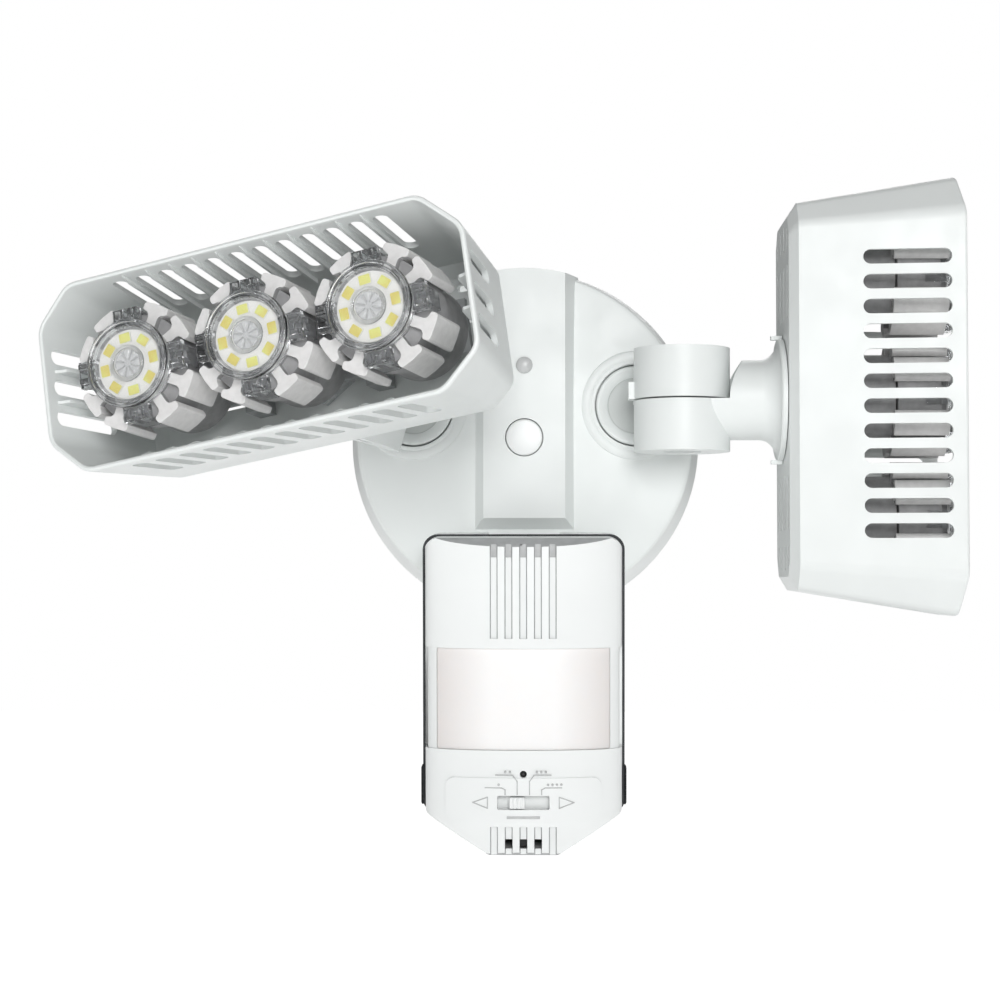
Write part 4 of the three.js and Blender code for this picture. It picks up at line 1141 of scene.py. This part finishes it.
def sensor_small_parts():
    where = sensor_frame()
    knob = slab(rectangle(-2.6, 2.6, SWITCH_Z - 1.9, SWITCH_Z + 1.9, 0.4), SENSOR_FRONT - 1.3, -14)
    knob = add(knob, box(-5, 5, -16.2, -12, SWITCH_Z - 1.9, SWITCH_Z + 1.9),
               box(-19.5, 19.5, -16.6, -15.9, SWITCH_Z - 3.4, SWITCH_Z + 3.4))
    notches = [box(x - 0.25, x + 0.25, SENSOR_FRONT - 3, SENSOR_FRONT - 0.9, SWITCH_Z - 3, SWITCH_Z + 3)
               for x in (-1.4, 0, 1.4)]
    place(moved(cut(knob, *notches), KNOB_REST_X), "switch_knob", "mode_switch", where, [WHITE],
          ["mode_knob"], edge=0.2)
    pipe = lathe([
        (0, SENSOR_FRONT - 0.1), (0.6, SENSOR_FRONT), (0.85, SENSOR_FRONT + 0.3), (0.85, -3.9), (0, -3.9),
    ], 32)
    place(moved(pipe, 0, 0, INDICATOR_Z), "indicator_pipe", "sensor_head", where, [DARK],
          ["indicator"], edge=0)
    dress("photocell", DARK)
    dress("sensor_board", GREEN)
    dress("pir_element", STEEL)
    dress("tilt_pin", STEEL)


# ---------------------------------------------------------------- stage
def camera():
    """A long lens on a full frame, about 0.86 m from the wall."""
    data = bpy.data.cameras.new("camera")
    data.lens = CAMERA_LENS
    data.sensor_width = 36
    data.clip_end = 50
    obj = bpy.data.objects.new("camera", data)
    bpy.context.scene.collection.objects.link(obj)
    forward = Vector(CAMERA_FORWARD).normalized()
    right = forward.cross(Vector((0, 0, 1))).normalized()
    obj.matrix_world = axes(Vector(CAMERA_SPOT) * MM, right, right.cross(forward), -forward)
    bpy.context.scene.camera = obj


def area_light(name, spot, target, size, power):
    data = bpy.data.lights.new(name, "AREA")
    data.shape = "SQUARE"
    data.size = size
    data.energy = power
    obj = bpy.data.objects.new(name, data)
    bpy.context.scene.collection.objects.link(obj)
    aim = (Vector(target) - Vector(spot)).normalized()
    obj.matrix_world = Matrix.Translation(spot) @ aim.to_track_quat("-Z", "Y").to_matrix().to_4x4()


def lay_floor():
    """Pale floor that glows less near the object than far from it."""
    bm = bmesh.new()
    bmesh.ops.create_grid(bm, x_segments=2, y_segments=2, size=FLOOR_SIZE)
    floor = shape(bm)
    floor.name = "floor"
    floor.location = (0, 0, FLOOR_Z)
    pale = Surface("pale_floor", (0.92, 0.92, 0.92), 0.7, Emission_Color=(1, 1, 1, 1))
    pale.mottle(3, 0.01).patchy(6, 0.03)
    reach = pale.nodes.new("ShaderNodeVectorMath")
    reach.operation = "LENGTH"
    glow = pale.nodes.new("ShaderNodeMapRange")
    for key, value in FLOOR_GLOW.items():
        glow.inputs[key].default_value = value
    pale.links.new(pale.where, reach.inputs[0])
    pale.links.new(reach.outputs["Value"], glow.inputs["Value"])
    pale.links.new(glow.outputs["Result"], pale.shader.inputs["Emission Strength"])
    floor.data.materials.append(pale.material)


def light_room():
    """White backdrop for the camera, a dimmer sky for the light, and the lamps."""
    world = bpy.data.worlds.new("studio")
    bpy.context.scene.world = world
    world.use_nodes = True
    nodes, links = world.node_tree.nodes, world.node_tree.links
    sky = nodes["Background"]
    sky.inputs["Color"].default_value = (1, 1, 1, 1)
    sky.inputs["Strength"].default_value = SKY_STRENGTH
    backdrop = nodes.new("ShaderNodeBackground")
    backdrop.inputs["Color"].default_value = (1, 1, 1, 1)
    backdrop.inputs["Strength"].default_value = 1.0
    path = nodes.new("ShaderNodeLightPath")
    mix = nodes.new("ShaderNodeMixShader")
    links.new(path.outputs["Is Camera Ray"], mix.inputs["Fac"])
    links.new(sky.outputs["Background"], mix.inputs[1])
    links.new(backdrop.outputs["Background"], mix.inputs[2])
    links.new(mix.outputs["Shader"], nodes["World Output"].inputs["Surface"])
    bpy.context.scene.view_settings.view_transform = "Standard"

    for light in LIGHTS:
        area_light(*light)


camera()
lay_floor()
light_room()
canopy()
screw_cap()
ridge_plug()
for side_name, side_sign in (("left", -1), ("right", 1)):
    arm(side_name, side_sign)
    neck(side_name)
    shroud(side_name)
    lamp_modules(side_name)
    dress(f"knuckle_bolt_{side_name}", STEEL)
    dress(f"arm_nut_{side_name}", STEEL)
    dress(f"friction_washer_{side_name}", RUBBER, 0.1)
sensor_cover()
sensor_marks()
sensor_lens()
sensor_gasket()
sensor_rear()
sensor_small_parts()
for name in ("mounting_bar", "box_screw_left", "box_screw_right", "centre_screw", "pan_pin"):
    dress(name, STEEL)
dress("canopy_gasket", RUBBER)
dress("driver_housing", GREY, 0.6)
dress("terminal_block", WHITE)
dress("sensor_stalk", COAT, 0.5)
dress("sensor_yoke", GREY, 0.4)
